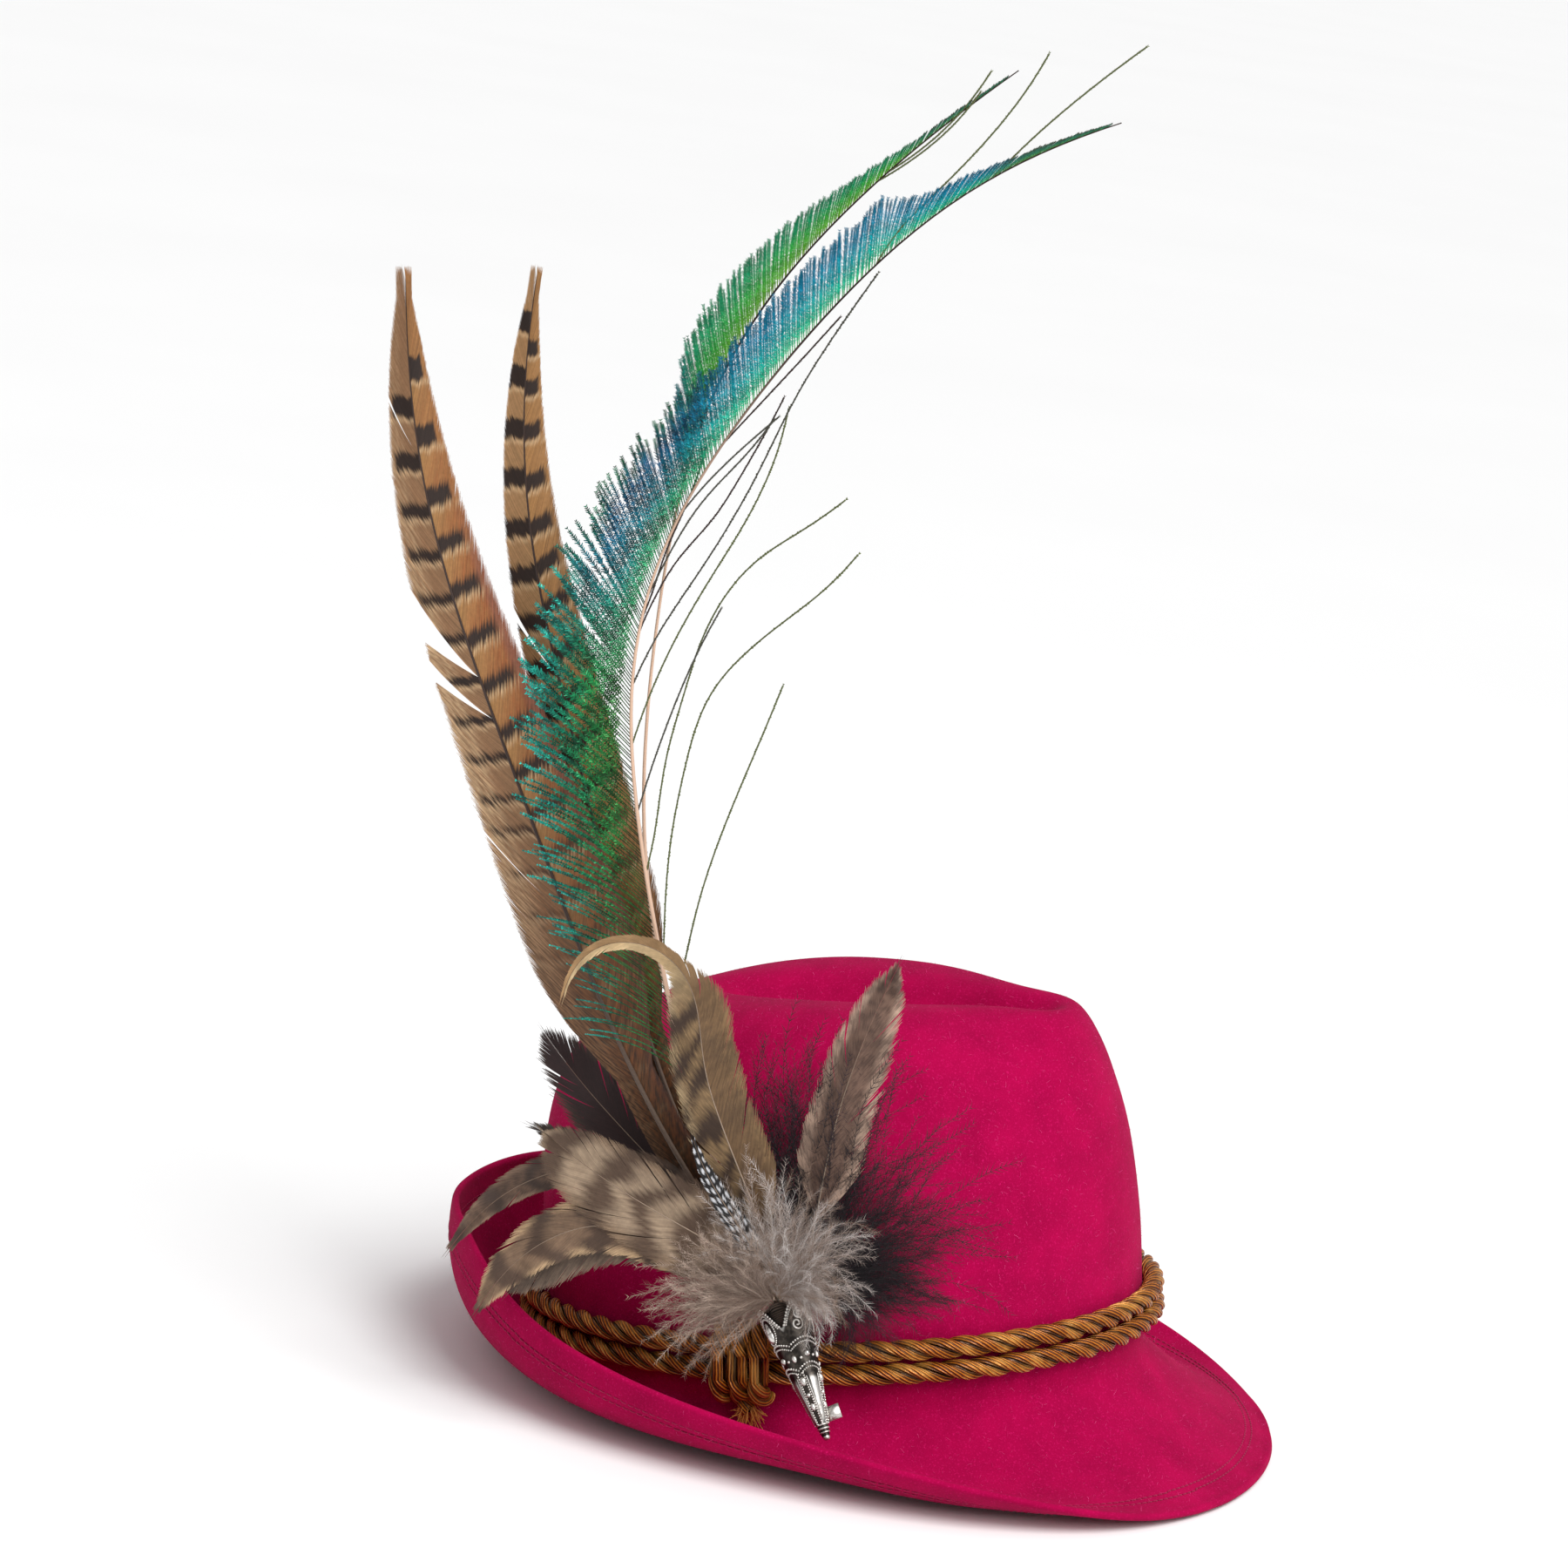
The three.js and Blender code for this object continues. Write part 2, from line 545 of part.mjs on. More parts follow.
// Outer radius of the cone at a height above its tip.
function coneRadius(height) {
  const share = Math.min(height / mouthHeight, 1);
  const flare = Math.max(0, (height - mouthHeight) / PIN_PETAL);
  const bulge = 0.86 * share + 0.14 * Math.sin((share * Math.PI) / 2);
  return PIN_TIP + (PIN_MOUTH - PIN_TIP) * bulge + PIN_FLARE * flare;
}

// Height of the cone's upper edge at a turn round its axis: a row of round-shouldered petals.
function coneEdge(turn) {
  const petal = Math.abs(Math.cos((turn * PIN_PETALS) / 2)) ** 1.4;
  return mouthHeight + PIN_PETAL * (0.15 + 0.85 * petal);
}

// The hollow cone with petals, raised ribs, beaded bands and bosses, and the clasp plate and post
// soldered to it.
function pinHolder() {
  const columns = PIN_PETALS * 6;
  const at = (column, height, inset) => {
    const turn = (column / columns) * 2 * Math.PI + PETAL_TURN * RADIANS;
    const radius = Math.max(coneRadius(height) - inset, 0.15);
    return new THREE.Vector3(radius * Math.cos(turn), radius * Math.sin(turn), height);
  };
  const ring = (heightAt, insetAt) => list(columns, (k) => at(k, heightAt(k), insetAt(k)));
  const edgeAt = (k) => coneEdge((k / columns) * 2 * Math.PI);
  const halfway = (k) => (mouthHeight + edgeAt(k)) / 2;
  const plain = () => 0;
  const ribs = (k) => (k % 6 === 3 ? -PIN_RELIEF : 0);
  const beads = (k) => (k % 2 ? -PIN_RELIEF * 1.4 : -PIN_RELIEF * 0.4);
  const sections = [
    { share: 0.03, inset: plain },
    { share: 0.2, inset: ribs },
    { share: 0.7, inset: ribs },
    { share: 0.79, inset: beads },
    { share: 0.84, inset: plain },
    { share: 0.9, inset: beads },
    { share: 0.96, inset: plain },
  ];
  const walled = () => PIN_WALL;
  const rings = [
    ...sections.map(({ share, inset }) => ring(() => mouthHeight * share, inset)),
    ring(halfway, plain),
    ring(edgeAt, plain),
    ring(edgeAt, walled),
    ring(() => mouthHeight * 0.96, walled),
    ring(() => mouthHeight * 0.5, walled),
  ];
  const parts = [loft(rings)];
  const bead = (column, height, size) => {
    const p = at(column, height, Math.min(0.1, PIN_WALL - size));
    parts.push(new THREE.OctahedronGeometry(size).scale(1, 1, 1.15).translate(p.x, p.y, p.z));
  };
  for (let petal = 0; petal < columns; petal += 6) {
    bead(petal, PIN_LENGTH - BEAD, BEAD * 1.5);
    bead(petal, mouthHeight + PIN_PETAL * 0.4, BEAD * 2.1);
    for (const aside of [-1, 1]) bead(petal + aside, edgeAt(petal + aside) - BEAD, BEAD);
    bead(petal, mouthHeight * 0.5, BEAD * 1.8);
  }
  const claspHeight = mouthHeight * 0.2;
  const clasp = new THREE.BoxGeometry(CLASP_THICK, CLASP_REACH, CLASP_WIDTH);
  clasp.translate(coneRadius(claspHeight) - CLASP_THICK / 2, -CLASP_REACH / 2, claspHeight);
  const post = new THREE.CylinderGeometry(POST, POST, POST_LENGTH, 8);
  post.rotateZ(Math.PI / 2).translate(POST_FROM + POST_LENGTH / 2, 0, mouthHeight * POST_AT);
  return fuse([...parts, clasp, post]);
}

// Turns the cone's own axis, +Z, along the pin, with its clasp to the crown.
function placeOnPin(mesh) {
  mesh.quaternion.setFromRotationMatrix(new THREE.Matrix4().makeBasis(pinInward, pinBackward, pinAxis));
  mesh.position.copy(pinTip);
  return mesh;
}

// The wound quill ends that fill the cone's mouth.
function binding() {
  const sides = 24;
  const [right, front] = [new THREE.Vector3(1, 0, 0), new THREE.Vector3(0, 1, 0)];
  const levels = [
    { height: mouthHeight * 0.62, lip: 0, rise: 0 },
    { height: bindingTop - LIP_DEPTH, lip: 0, rise: 0 },
    { height: bindingTop - LIP_DEPTH / 2, lip: LIP_REACH, rise: 0 },
    { height: bindingTop, lip: LIP_REACH, rise: LIP_RISE },
  ];
  return loft(
    levels.map(({ height, lip, rise }) => {
      const radius = coneRadius(Math.min(height, mouthHeight)) - PIN_WALL - GAP;
      const onLip = (k) => Math.abs(k - sides / 2) <= 1;
      const radiusAt = (k) => radius + (onLip(k) ? lip : 0);
      const ring = ringAt(new THREE.Vector3(0, 0, height), right, front, sides, radiusAt);
      ring.forEach((p, k) => {
        p.z += onLip(k) ? rise : 0;
      });
      return ring;
    }),
  );
}

// Direction in the plume's plane that leans from upright to the front.
function leaning(lean) {
  return new THREE.Vector3(0, -Math.sin(lean), Math.cos(lean));
}

// Points and leans along a quill. A layer of the plume keeps its order all the way out.
function quillPoints(f, steps) {
  const fine = 6;
  const step = f.length / (steps * fine);
  const at = rootPoint(f);
  const foot = at.x;
  const points = [];
  for (let i = 0; i <= steps * fine; i++) {
    const u = i / (steps * fine);
    const lean = along(f.lean, u * (f.lean.length - 1)) * RADIANS;
    if (i % fine === 0) {
      const place = at.clone();
      place.x = foot - (layerPlace(f) * u * f.length) / FAN_LENGTH;
      points.push({ place, lean, u });
    }
    at.addScaledVector(leaning(lean), step);
  }
  return points;
}

// Share of the full vane width at a share of the quill.
function vaneShape(f, u) {
  return smooth((u - f.bare) / 0.22) * (1 - u ** f.taper) ** 0.75;
}

// Section of a vane: its two edges and the quill between them, on both faces.
function vaneSection(place, left, right, cup, quill) {
  const at = (edge, out) => place.clone().add(edge).addScaledVector(OUT, out);
  const none = new THREE.Vector3();
  return [
    at(left, cup + VANE),
    at(none, quill),
    at(right, cup + VANE),
    at(right, cup - VANE),
    at(none, -quill),
    at(left, cup - VANE),
  ];
}

function feather(f) {
  return loft(
    quillPoints(f, f.steps).map(({ place, lean, u }) => {
      const rightwards = leaning(lean + Math.PI / 2);
      const shape = vaneShape(f, u);
      const left = rightwards.clone().multiplyScalar(-BARE_QUILL - f.left * shape);
      const right = rightwards.clone().multiplyScalar(BARE_QUILL + f.right * shape);
      const cup = (f.cup * shape * u * f.length) / FAN_LENGTH;
      return vaneSection(place, left, right, cup, QUILL * (1 - 0.5 * u));
    }),
  );
}

// A flat tapered strip along a list of points.
function strip(points, across, widthAt) {
  return loft(
    points.map((p, i) => {
      const half = widthAt(i / (points.length - 1));
      const thick = Math.min(half, VANE);
      const at = (aside, out) => p.clone().addScaledVector(across, aside).addScaledVector(OUT, out);
      return [at(-half, 0), at(0, thick), at(half, 0), at(0, -thick)];
    }),
  );
}

function sword(f) {
  const quill = quillPoints(f, SWORD_STEPS);
  const on = (u) => {
    const i = Math.min(Math.floor(u * SWORD_STEPS), SWORD_STEPS - 1);
    const share = u * SWORD_STEPS - i;
    const place = quill[i].place.clone().lerp(quill[i + 1].place, share);
    return { place, lean: THREE.MathUtils.lerp(quill[i].lean, quill[i + 1].lean, share) };
  };
  const section = (u, barb, turn) => {
    const { place, lean } = on(u);
    const thin = 1 - 0.6 * u;
    const right = leaning(lean + Math.PI / 2).multiplyScalar(BARE_QUILL * thin);
    const left = leaning(lean - turn * RADIANS).multiplyScalar(barb + BARE_QUILL * thin);
    return vaneSection(place, left, right, 0, QUILL * thin);
  };
  const rings = [section(0, 0, 90), section(f.from * 0.5, 0, 90), section(f.from, 0, 90)];
  for (let k = 0; k < f.locks * 2; k++) {
    const share = (k + 1) / (f.locks * 2);
    const barb = THREE.MathUtils.lerp(f.lowBarb, f.highBarb, share) * (k % 2 ? NOTCH : 1);
    const turn = THREE.MathUtils.lerp(BARB_LOW, BARB_HIGH, share);
    rings.push(section(THREE.MathUtils.lerp(f.from, f.to, share), barb, turn));
  }
  rings.push(section(1, 0, 90));
  const strands = list(f.strands, (k) => {
    const share = (k + 0.5) / f.strands;
    const { place, lean } = on(THREE.MathUtils.lerp(STRAND_FROM, STRAND_TO, share));
    const length = f.strand * (1 - 0.35 * share);
    const points = [place.clone()];
    const bends = 3;
    for (let s = 1; s <= bends; s++) {
      const turn = lean + (STRAND_TURN + STRAND_BEND * (s / bends) ** 2) * RADIANS;
      points.push(points.at(-1).clone().addScaledVector(leaning(turn), length / bends));
    }
    return strip(points, leaning(lean + Math.PI / 2), (s) => STRAND_WIDTH * (1 - 0.5 * s));
  });
  return fuse([loft(rings), ...strands]);
}

function tuft(f) {
  const foot = rootPoint(f).addScaledVector(UP, BACKING);
  const backing = new THREE.OctahedronGeometry(BACKING).scale(0.4, 1, 1);
  const locks = list(f.locks, (k) => {
    const share = k / (f.locks - 1);
    const turn = THREE.MathUtils.lerp(f.first, f.last, share) * RADIANS;
    const length = f.length * (0.78 + 0.22 * Math.sin(k * 2.4)) * (1 - 0.25 * Math.abs(share - 0.5));
    const out = f.out * (0.7 + 0.3 * Math.cos(k * 1.9));
    const points = [0, 0.5, 1].map((s) => {
      const reach = THREE.MathUtils.lerp(BACKING * 0.4, length, s);
      return foot
        .clone()
        .addScaledVector(leaning(turn + 0.2 * s), reach)
        .addScaledVector(OUT, out * s * s);
    });
    return strip(points, leaning(turn + Math.PI / 2), (s) => LOCK_ROOT + f.width * s * (1 - s));
  });
  return fuse([backing.translate(foot.x, foot.y, foot.z), ...locks]);
}

function meshOf(name, material, geometry) {
  const mesh = new THREE.Mesh(geometry, MATERIALS[material]);
  mesh.name = name;
  return mesh;
}

const part = new THREE.Group();
const hat = new THREE.Group();
part.add(hat);

const felt = feltBody();
hat.add(meshOf("felt_body", "felt", felt.geometry));
hat.add(meshOf("rope_lower", "rope", ropeBand(0)));
hat.add(meshOf("rope_upper", "rope", ropeBand(1)));
hat.add(meshOf("rope_knot", "rope", knot()));
hat.add(placeOnPin(meshOf("pin_holder", "silver", pinHolder())));
hat.add(placeOnPin(meshOf("quill_binding", "thread", binding())));
for (const f of FEATHERS) hat.add(meshOf(f.name, f.material, feather(f)));
for (const f of SWORDS) hat.add(meshOf(f.name, "peacock", sword(f)));
for (const f of TUFTS) hat.add(meshOf(f.name, f.material, tuft(f)));

// Set down on its brim, with the origin below the middle of its box.
hat.rotation.x = -felt.plane.pitch;
hat.position.z = -felt.plane.height;
part.updateMatrixWorld(true);
const middle = new THREE.Box3().setFromObject(hat, true).getCenter(new THREE.Vector3());
hat.position.x = -middle.x;
hat.position.y = -middle.y;
part.updateMatrixWorld(true);

export default part;
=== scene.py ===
# A Tyrolean felt hat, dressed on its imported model.
# Lengths are millimetres and turns are degrees unless a name says otherwise. Shapes are worked
# out on the hat as worn: front to -Y, wearer's left to +X, the crown meets the brim at height 0.
# Placing turns them into the frame's metres, where the hat leans back on its brim.
import math
import bpy
import numpy as np
from mathutils import Matrix, Vector


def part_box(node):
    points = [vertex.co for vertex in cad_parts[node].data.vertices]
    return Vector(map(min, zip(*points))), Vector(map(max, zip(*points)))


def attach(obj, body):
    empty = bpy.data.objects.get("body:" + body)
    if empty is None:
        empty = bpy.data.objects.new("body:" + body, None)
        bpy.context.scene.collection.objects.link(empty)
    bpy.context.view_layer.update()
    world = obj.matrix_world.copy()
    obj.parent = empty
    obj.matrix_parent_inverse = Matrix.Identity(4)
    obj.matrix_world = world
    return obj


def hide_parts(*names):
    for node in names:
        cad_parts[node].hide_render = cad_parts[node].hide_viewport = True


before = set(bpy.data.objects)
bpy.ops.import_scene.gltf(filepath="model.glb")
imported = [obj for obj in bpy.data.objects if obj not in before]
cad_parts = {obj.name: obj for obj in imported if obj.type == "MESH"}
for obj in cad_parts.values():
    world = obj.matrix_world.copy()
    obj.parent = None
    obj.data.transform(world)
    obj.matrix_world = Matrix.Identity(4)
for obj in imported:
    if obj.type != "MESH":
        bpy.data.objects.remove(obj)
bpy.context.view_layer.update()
from types import SimpleNamespace

MM = 0.001
UP = np.array([0.0, 0.0, 1.0])
OUT = np.array([-1.0, 0.0, 0.0])  # away from the crown at the plume
DICE = np.random.default_rng(7)

# Felt, as in the solids
HEAD_LENGTH = 188
HEAD_WIDTH = 164
CROWN_HEIGHT = 111.5
FELT = 2.4
BRIM_WIDTH = 56
BREAK_ROLL = 7
PINCH_AT = 42
PINCH_SPREAD = 22
FLATTENED = 1
PITCH = 8.227  # how far the hat leans back where it stands
CROWN = {
    "front": [0.5, 0.61, 0.69, 0.75, 0.79, 0.836, 0.887, 0.947, 0.984, 0.994, 1],
    "side": [0, 0.13, 0.25, 0.37, 0.54, 0.71, 0.84, 0.92, 0.965, 0.99, 1],
    "back": [0.24, 0.36, 0.46, 0.57, 0.7, 0.835, 0.925, 0.98, 0.99, 0.995, 1],
    "high_front": [0.87, 0.89, 0.92, 0.95, 0.94, 0.88, 0.775, 0.595, 0.36, 0.14, 0],
    "high_side": [0.85, 0.9, 0.97, 0.99, 0.98, 0.9, 0.76, 0.57, 0.35, 0.14, 0],
    "high_back": [0.89, 0.93, 0.97, 0.95, 0.89, 0.84, 0.73, 0.55, 0.34, 0.14, 0],
    "pinch": [0, 0.1, 0.28, 0.34, 0.3, 0.22, 0.11, 0.03, 0, 0, 0],
}
BRIM = {
    "width": [1.01, 1.045, 1.11, 0.94, 1, 1.11, 1.07],
    "leave": [-47, -47, -67, -48, -22, 7, 24],
    "rim": [-31, -19, 41, 68, 91, 111, 98],
}
BREAK_ROW = 10
# Columns, crown rows and brim rows of the felt: to look at, to stand nap on and to measure
FINE, NAPPED, COARSE = (210, 68, 50), (360, 84, 60), (40, 17, 9)
NAP_FIBRES = 16000
STITCHES = 330
HALF_LENGTH = (HEAD_LENGTH + FELT) / 2
HALF_WIDTH = (HEAD_WIDTH + FELT) / 2
STITCH_ROWS = [7, 9.5]  # distance from the rim
SEAM_DEPTH, SEAM_SPREAD = 0.28, 0.45

# Ropes
ROPE = 6.8
ROPE_LAY = 27
ROPE_LIFT = 5
ROPE_RISE = 1.6
GAP = 0.3
LAY_STEPS = 26  # points along one turn of the plies
PLY_OFF, PLY_RADIUS, PLY_SIDES = 0.262, 0.238, 12  # as shares of the rope's thickness, and corners
YARNS = 9  # ridges round a ply
YARN_TURN = -0.35  # turn of the yarns along a ply, in radians for each millimetre
KNOT_AT = 263
KNOT_ROPE = 6.8
KNOT_WRAPS = 3
KNOT_TAIL = 5
WRAP_TURNS, WRAP_SPACING = 1.35, 0.9  # turns of the plies in one wrap; from wrap to wrap, as a share
FRAY_YARNS = 90

# Pin
PIN_LENGTH, PIN_PETAL, PIN_PETALS, PIN_FLARE = 42, 8.5, 4, 0.9
PIN_MOUTH, PIN_TIP = 6.8, 1.1
PIN_AT, PIN_SEAT, PIN_BACK, PIN_IN = 275.5, 0.4, 25, 22
POST_AT, POST_FROM, POST_LENGTH, POST = 0.815, 5.4, 9.2, 0.8
MOUTH_HEIGHT = PIN_LENGTH - PIN_PETAL
PIN_WALL = 0.9
PETAL_TURN = math.radians(45)  # turn of the first petal from the crown's side
LIP_REACH, LIP_DEPTH = 2.6, 2.2  # the binding's lip between two petals
THREAD_TURNS, CORE_SIDES = 34, 24
CLASP_WIDTH, CLASP_THICK, CLASP_REACH = 4.4, 0.8, 6.2

# Plume: a layer's place counts out from the crown, a lean from upright to the front
LAYER, LAYER_START = 1.25, -1.6
FAN_LENGTH = 42
QUILL_STEPS = 70
BARB_BEND, BARB_TILT = 0.35, math.radians(14)  # how barbs sweep to their tips, and lean over the next
VANE_END = 0.988
VANE_OFF = 0.1  # from a quill's middle to its barbs
LOW_VANE = 0.34  # width of a tail feather's vane near its root, as a share
BLUNT = 0.13  # width of a vane at its tip, as a share
TIP_TURN = 5  # turn of the last barbs off the quill
ROOT_GAP = 0.9


def along(values, t, mirrored=False):
    """Value at place t on a smooth curve through evenly spaced values, the first at 0."""
    values = np.asarray(values, float)
    last = len(values) - 1
    t = np.asarray(t, float)
    i = np.clip(np.floor(t).astype(int), 0, last - 1)
    f = t - i

    def at(k):
        k = last - np.abs(last - np.abs(k)) if mirrored else np.clip(k, 0, last)
        return values[k]

    a, b, c, d = (at(i + n) for n in (-1, 0, 1, 2))
    return b + 0.5 * f * (c - a + f * (2 * a - 5 * b + 4 * c - d + f * (3 * (b - c) + d - a)))


def smooth(t):
    """A share that starts and ends gently, kept between 0 and 1."""
    x = np.clip(t, 0, 1)
    return x * x * (3 - 2 * x)


def unit(vectors):
    return vectors / np.maximum(np.linalg.norm(vectors, axis=-1, keepdims=True), 1e-9)


def mix(a, b, share):
    return a + (b - a) * share


def tinted(a, b, share):
    """Colours mixed by a share for each place."""
    return mix(a, b, share[..., None])


def circle(count):
    """Even turns, once round."""
    return np.arange(count) / count * 2 * np.pi


def lengths(points, axis=0):
    """Distance run along lines of points, from their first."""
    steps = np.diff(points, axis=axis, prepend=np.take(points, [0], axis))
    return np.cumsum(np.linalg.norm(steps, axis=-1), axis)


def rows_at(place, places, rows):
    """Rows of values, read between the places where they are known."""
    return np.stack([np.interp(place, places, column) for column in np.transpose(rows)], -1)


def square_to(ahead, vectors):
    """Unit vectors turned until they are square to others."""
    return unit(vectors - ahead * np.sum(vectors * ahead, -1, keepdims=True))


def rings_round(first, second, turn):
    """Unit circles at each point, from two directions square to the line."""
    return first[..., None, :] * np.cos(turn)[:, None] + second[..., None, :] * np.sin(turn)[:, None]


def table(columns, *rows):
    """Rows with their values under the names of the columns."""
    return [SimpleNamespace(**dict(zip(columns.split(), row))) for row in rows]


def srgb(red, green, blue):
    """A colour given from 0 to 255 as it looks, as the light that it stands for."""
    share = np.array([red, green, blue]) / 255
    return np.where(share < 0.04045, share / 12.92, ((share + 0.055) / 1.055) ** 2.4)


def off_front(turn):
    """Turn away from the front to either side, in degrees."""
    return np.degrees(np.arccos(np.cos(turn)))


def outward(turn):
    """Level direction straight out from the crown's outline."""
    flat = np.stack([np.sin(turn) / HALF_WIDTH, -np.cos(turn) / HALF_LENGTH, 0 * turn], -1)
    return unit(flat)


def crown_point(t, turn):
    """Middle of the crown's felt at place t of its sections and a turn from the front."""
    t, turn = np.broadcast_arrays(np.asarray(t, float), np.asarray(turn, float))
    front, side, back, high_front, high_side, high_back, pinch = (along(row, t) for row in CROWN.values())
    ahead = np.cos(turn) > 0
    reach = np.where(ahead, front, back)
    end_height = np.where(ahead, high_front, high_back)
    pinch = pinch * np.exp(-(((off_front(turn) - PINCH_AT) / PINCH_SPREAD) ** 2))
    return np.stack([
        HALF_WIDTH * side * np.sin(turn) * (1 - pinch),
        -HALF_LENGTH * reach * np.cos(turn),
        CROWN_HEIGHT * (high_side + (end_height - high_side) * np.cos(turn) ** 2),
    ], -1)


def wall_point(height, turn):
    """Middle of the crown's wall at a height near the brim break."""
    height, turn = np.broadcast_arrays(np.asarray(height, float), np.asarray(turn, float))
    above, below = np.full(turn.shape, BREAK_ROW - 3.0), np.full(turn.shape, float(BREAK_ROW))
    for _ in range(24):
        t = (above + below) / 2
        high = crown_point(t, turn)[..., 2] > height
        above, below = np.where(high, t, above), np.where(high, below, t)
    return crown_point(below, turn)


def brim_points(turn, steps):
    """Middle of the brim's felt from the break to the rim: an array of steps + 1 rows."""
    place = off_front(turn) / 180 * (len(BRIM["width"]) - 1)
    width, leave, rim = (along(row, place, True) for row in BRIM.values())
    width = BRIM_WIDTH * width
    step = width / steps
    run = (np.arange(steps)[:, None] + 0.5) * step
    curled = np.maximum(0, (run - BREAK_ROLL) / (width - BREAK_ROLL))
    slope = np.radians(-90 + (leave + 90) * smooth(run / BREAK_ROLL) + (rim - leave) * curled)
    move = outward(turn) * (step * np.cos(slope))[..., None] + UP * (step * np.sin(slope))[..., None]
    start = crown_point(BREAK_ROW, turn)[None]
    return np.concatenate([start, start + np.cumsum(move, 0)])


def felt_normals(rows):
    """Directions out of the felt at each point of its rows."""
    across = np.roll(rows, -1, 1) - np.roll(rows, 1, 1)
    down = np.gradient(rows, axis=0)
    normals = unit(np.cross(down, across))
    normals[0] = unit(normals[1] * [0, 1, 1])
    return normals


# Placing

def pitched(points):
    """Points of the hat as worn, leant back as it stands, before it is moved to its place."""
    lean = math.radians(-PITCH)
    turn = np.array([[1, 0, 0], [0, math.cos(lean), -math.sin(lean)], [0, math.sin(lean), math.cos(lean)]])
    return points @ turn.T


def placed(points):
    """Points of the hat as worn, in the frame, in metres."""
    return (pitched(np.asarray(points, float)) + SHIFT) * MM


def add_object(name, data):
    made = bpy.data.objects.new(name, data)
    bpy.context.scene.collection.objects.link(made)
    return made


class Shape:
    """Points and faces gathered from many small pieces, with a colour and two coordinates each."""

    def __init__(self):
        self.points, self.faces, self.colours, self.maps = [], [], [], []
        self.count = 0

    def add(self, points, faces, colour=(1, 1, 1), uv=None):
        points = np.asarray(points, float).reshape(-1, 3)
        self.points.append(points)
        self.faces.append(np.asarray(faces) + self.count)
        self.colours.append(np.broadcast_to(np.reshape(colour, (-1, 3)), points.shape))
        self.maps.append(np.zeros((len(points), 2)) if uv is None else np.reshape(uv, (-1, 2)))
        self.count += len(points)

    def corner_maps(self):
        """The coordinates of each face's corners; one that closes a tube counts on past 1."""
        values = np.concatenate(self.maps)
        corners = []
        for faces in self.faces:
            uv = values[faces]
            spread = np.ptp(uv[..., 0], 1, keepdims=True)
            uv[..., 0] += (spread > 0.5) & (uv[..., 0] < 0.5)
            corners.append(uv.reshape(-1, 2))
        return np.concatenate(corners)

    def piece(self, name, material, nodes):
        """The shape as a piece of the hat that stands for its nodes."""
        mesh = bpy.data.meshes.new(name)
        points = placed(np.concatenate(self.points))
        mesh.vertices.add(len(points))
        mesh.vertices.foreach_set("co", points.ravel())
        corners = np.concatenate([f.ravel() for f in self.faces])
        sizes = np.concatenate([np.full(len(f), f.shape[1]) for f in self.faces])
        mesh.loops.add(len(corners))
        mesh.loops.foreach_set("vertex_index", corners)
        mesh.polygons.add(len(sizes))
        mesh.polygons.foreach_set("loop_start", np.concatenate([[0], np.cumsum(sizes)[:-1]]))
        mesh.update(calc_edges=True)
        maps = mesh.uv_layers.new(name="UVMap")
        maps.data.foreach_set("uv", self.corner_maps().ravel())
        tint = mesh.color_attributes.new("tint", "FLOAT_COLOR", "POINT")
        colours = np.concatenate(self.colours)
        tint.data.foreach_set("color", np.concatenate([colours, np.ones((len(colours), 1))], 1).ravel())
        mesh.polygons.foreach_set("use_smooth", np.ones(len(sizes), bool))
        mesh.materials.append(material)
        made = add_object(name, mesh)
        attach(made, "root")
        if nodes:
            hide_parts(*nodes)
        return made


def grid_faces(rows, columns, looped=False, joined=False):
    """Faces between the points of a grid, stored row by row.

    looped joins its last column to its first, joined its last row to its first.
    """
    i, j = np.indices((rows - (not joined), columns - (not looped))).reshape(2, -1)
    k, m = (j + 1) % columns, (i + 1) % rows
    return np.stack([i * columns + j, i * columns + k, m * columns + k, m * columns + j], 1)


def many(faces, count, size):
    """The same faces for each of count grids of size points."""
    return (np.arange(count)[:, None, None] * size + faces[None]).reshape(-1, faces.shape[1])


def add_ribbons(shape, centres, sides, colours):
    """Flat strips: centres and half-width vectors are (strips, points, 3)."""
    strips, points = centres.shape[:2]
    corners = np.stack([centres - sides, centres + sides], 2)
    both = np.repeat(np.broadcast_to(colours, centres.shape)[:, :, None], 2, 2)
    shape.add(corners, many(grid_faces(points, 2), strips, points * 2), both)


def frames_along(centres, start):
    """Two directions square to each line of points, turning as little as they can."""
    ahead = unit(np.gradient(centres, axis=1))
    first = np.empty_like(centres)
    side = np.broadcast_to(start, centres[:, 0].shape)
    for i in range(centres.shape[1]):
        side = square_to(ahead[:, i], side)
        first[:, i] = side
    return first, np.cross(ahead, first)


def add_tubes(shape, centres, radii, sides=6, colours=(1, 1, 1), start=UP):
    """Round tubes: centres are (tubes, points, 3) and radii (tubes, points) or one number."""
    tubes, points = centres.shape[:2]
    turn = circle(sides)
    radii = np.broadcast_to(radii, (tubes, points))[..., None, None]
    rings = centres[:, :, None] + radii * rings_round(*frames_along(centres, start), turn)
    colours = np.repeat(np.broadcast_to(colours, centres.shape)[:, :, None], sides, 2)
    uv = np.stack(np.broadcast_arrays(turn / (2 * np.pi), lengths(centres, 1)[..., None]), -1)
    shape.add(rings, many(grid_faces(points, sides, True), tubes, points * sides), colours, uv)
    foot = np.arange(sides)
    caps = np.stack([foot[::-1], foot + (points - 1) * sides])
    shape.faces.append(many(caps, tubes, points * sides) + shape.count - tubes * points * sides)


# Materials

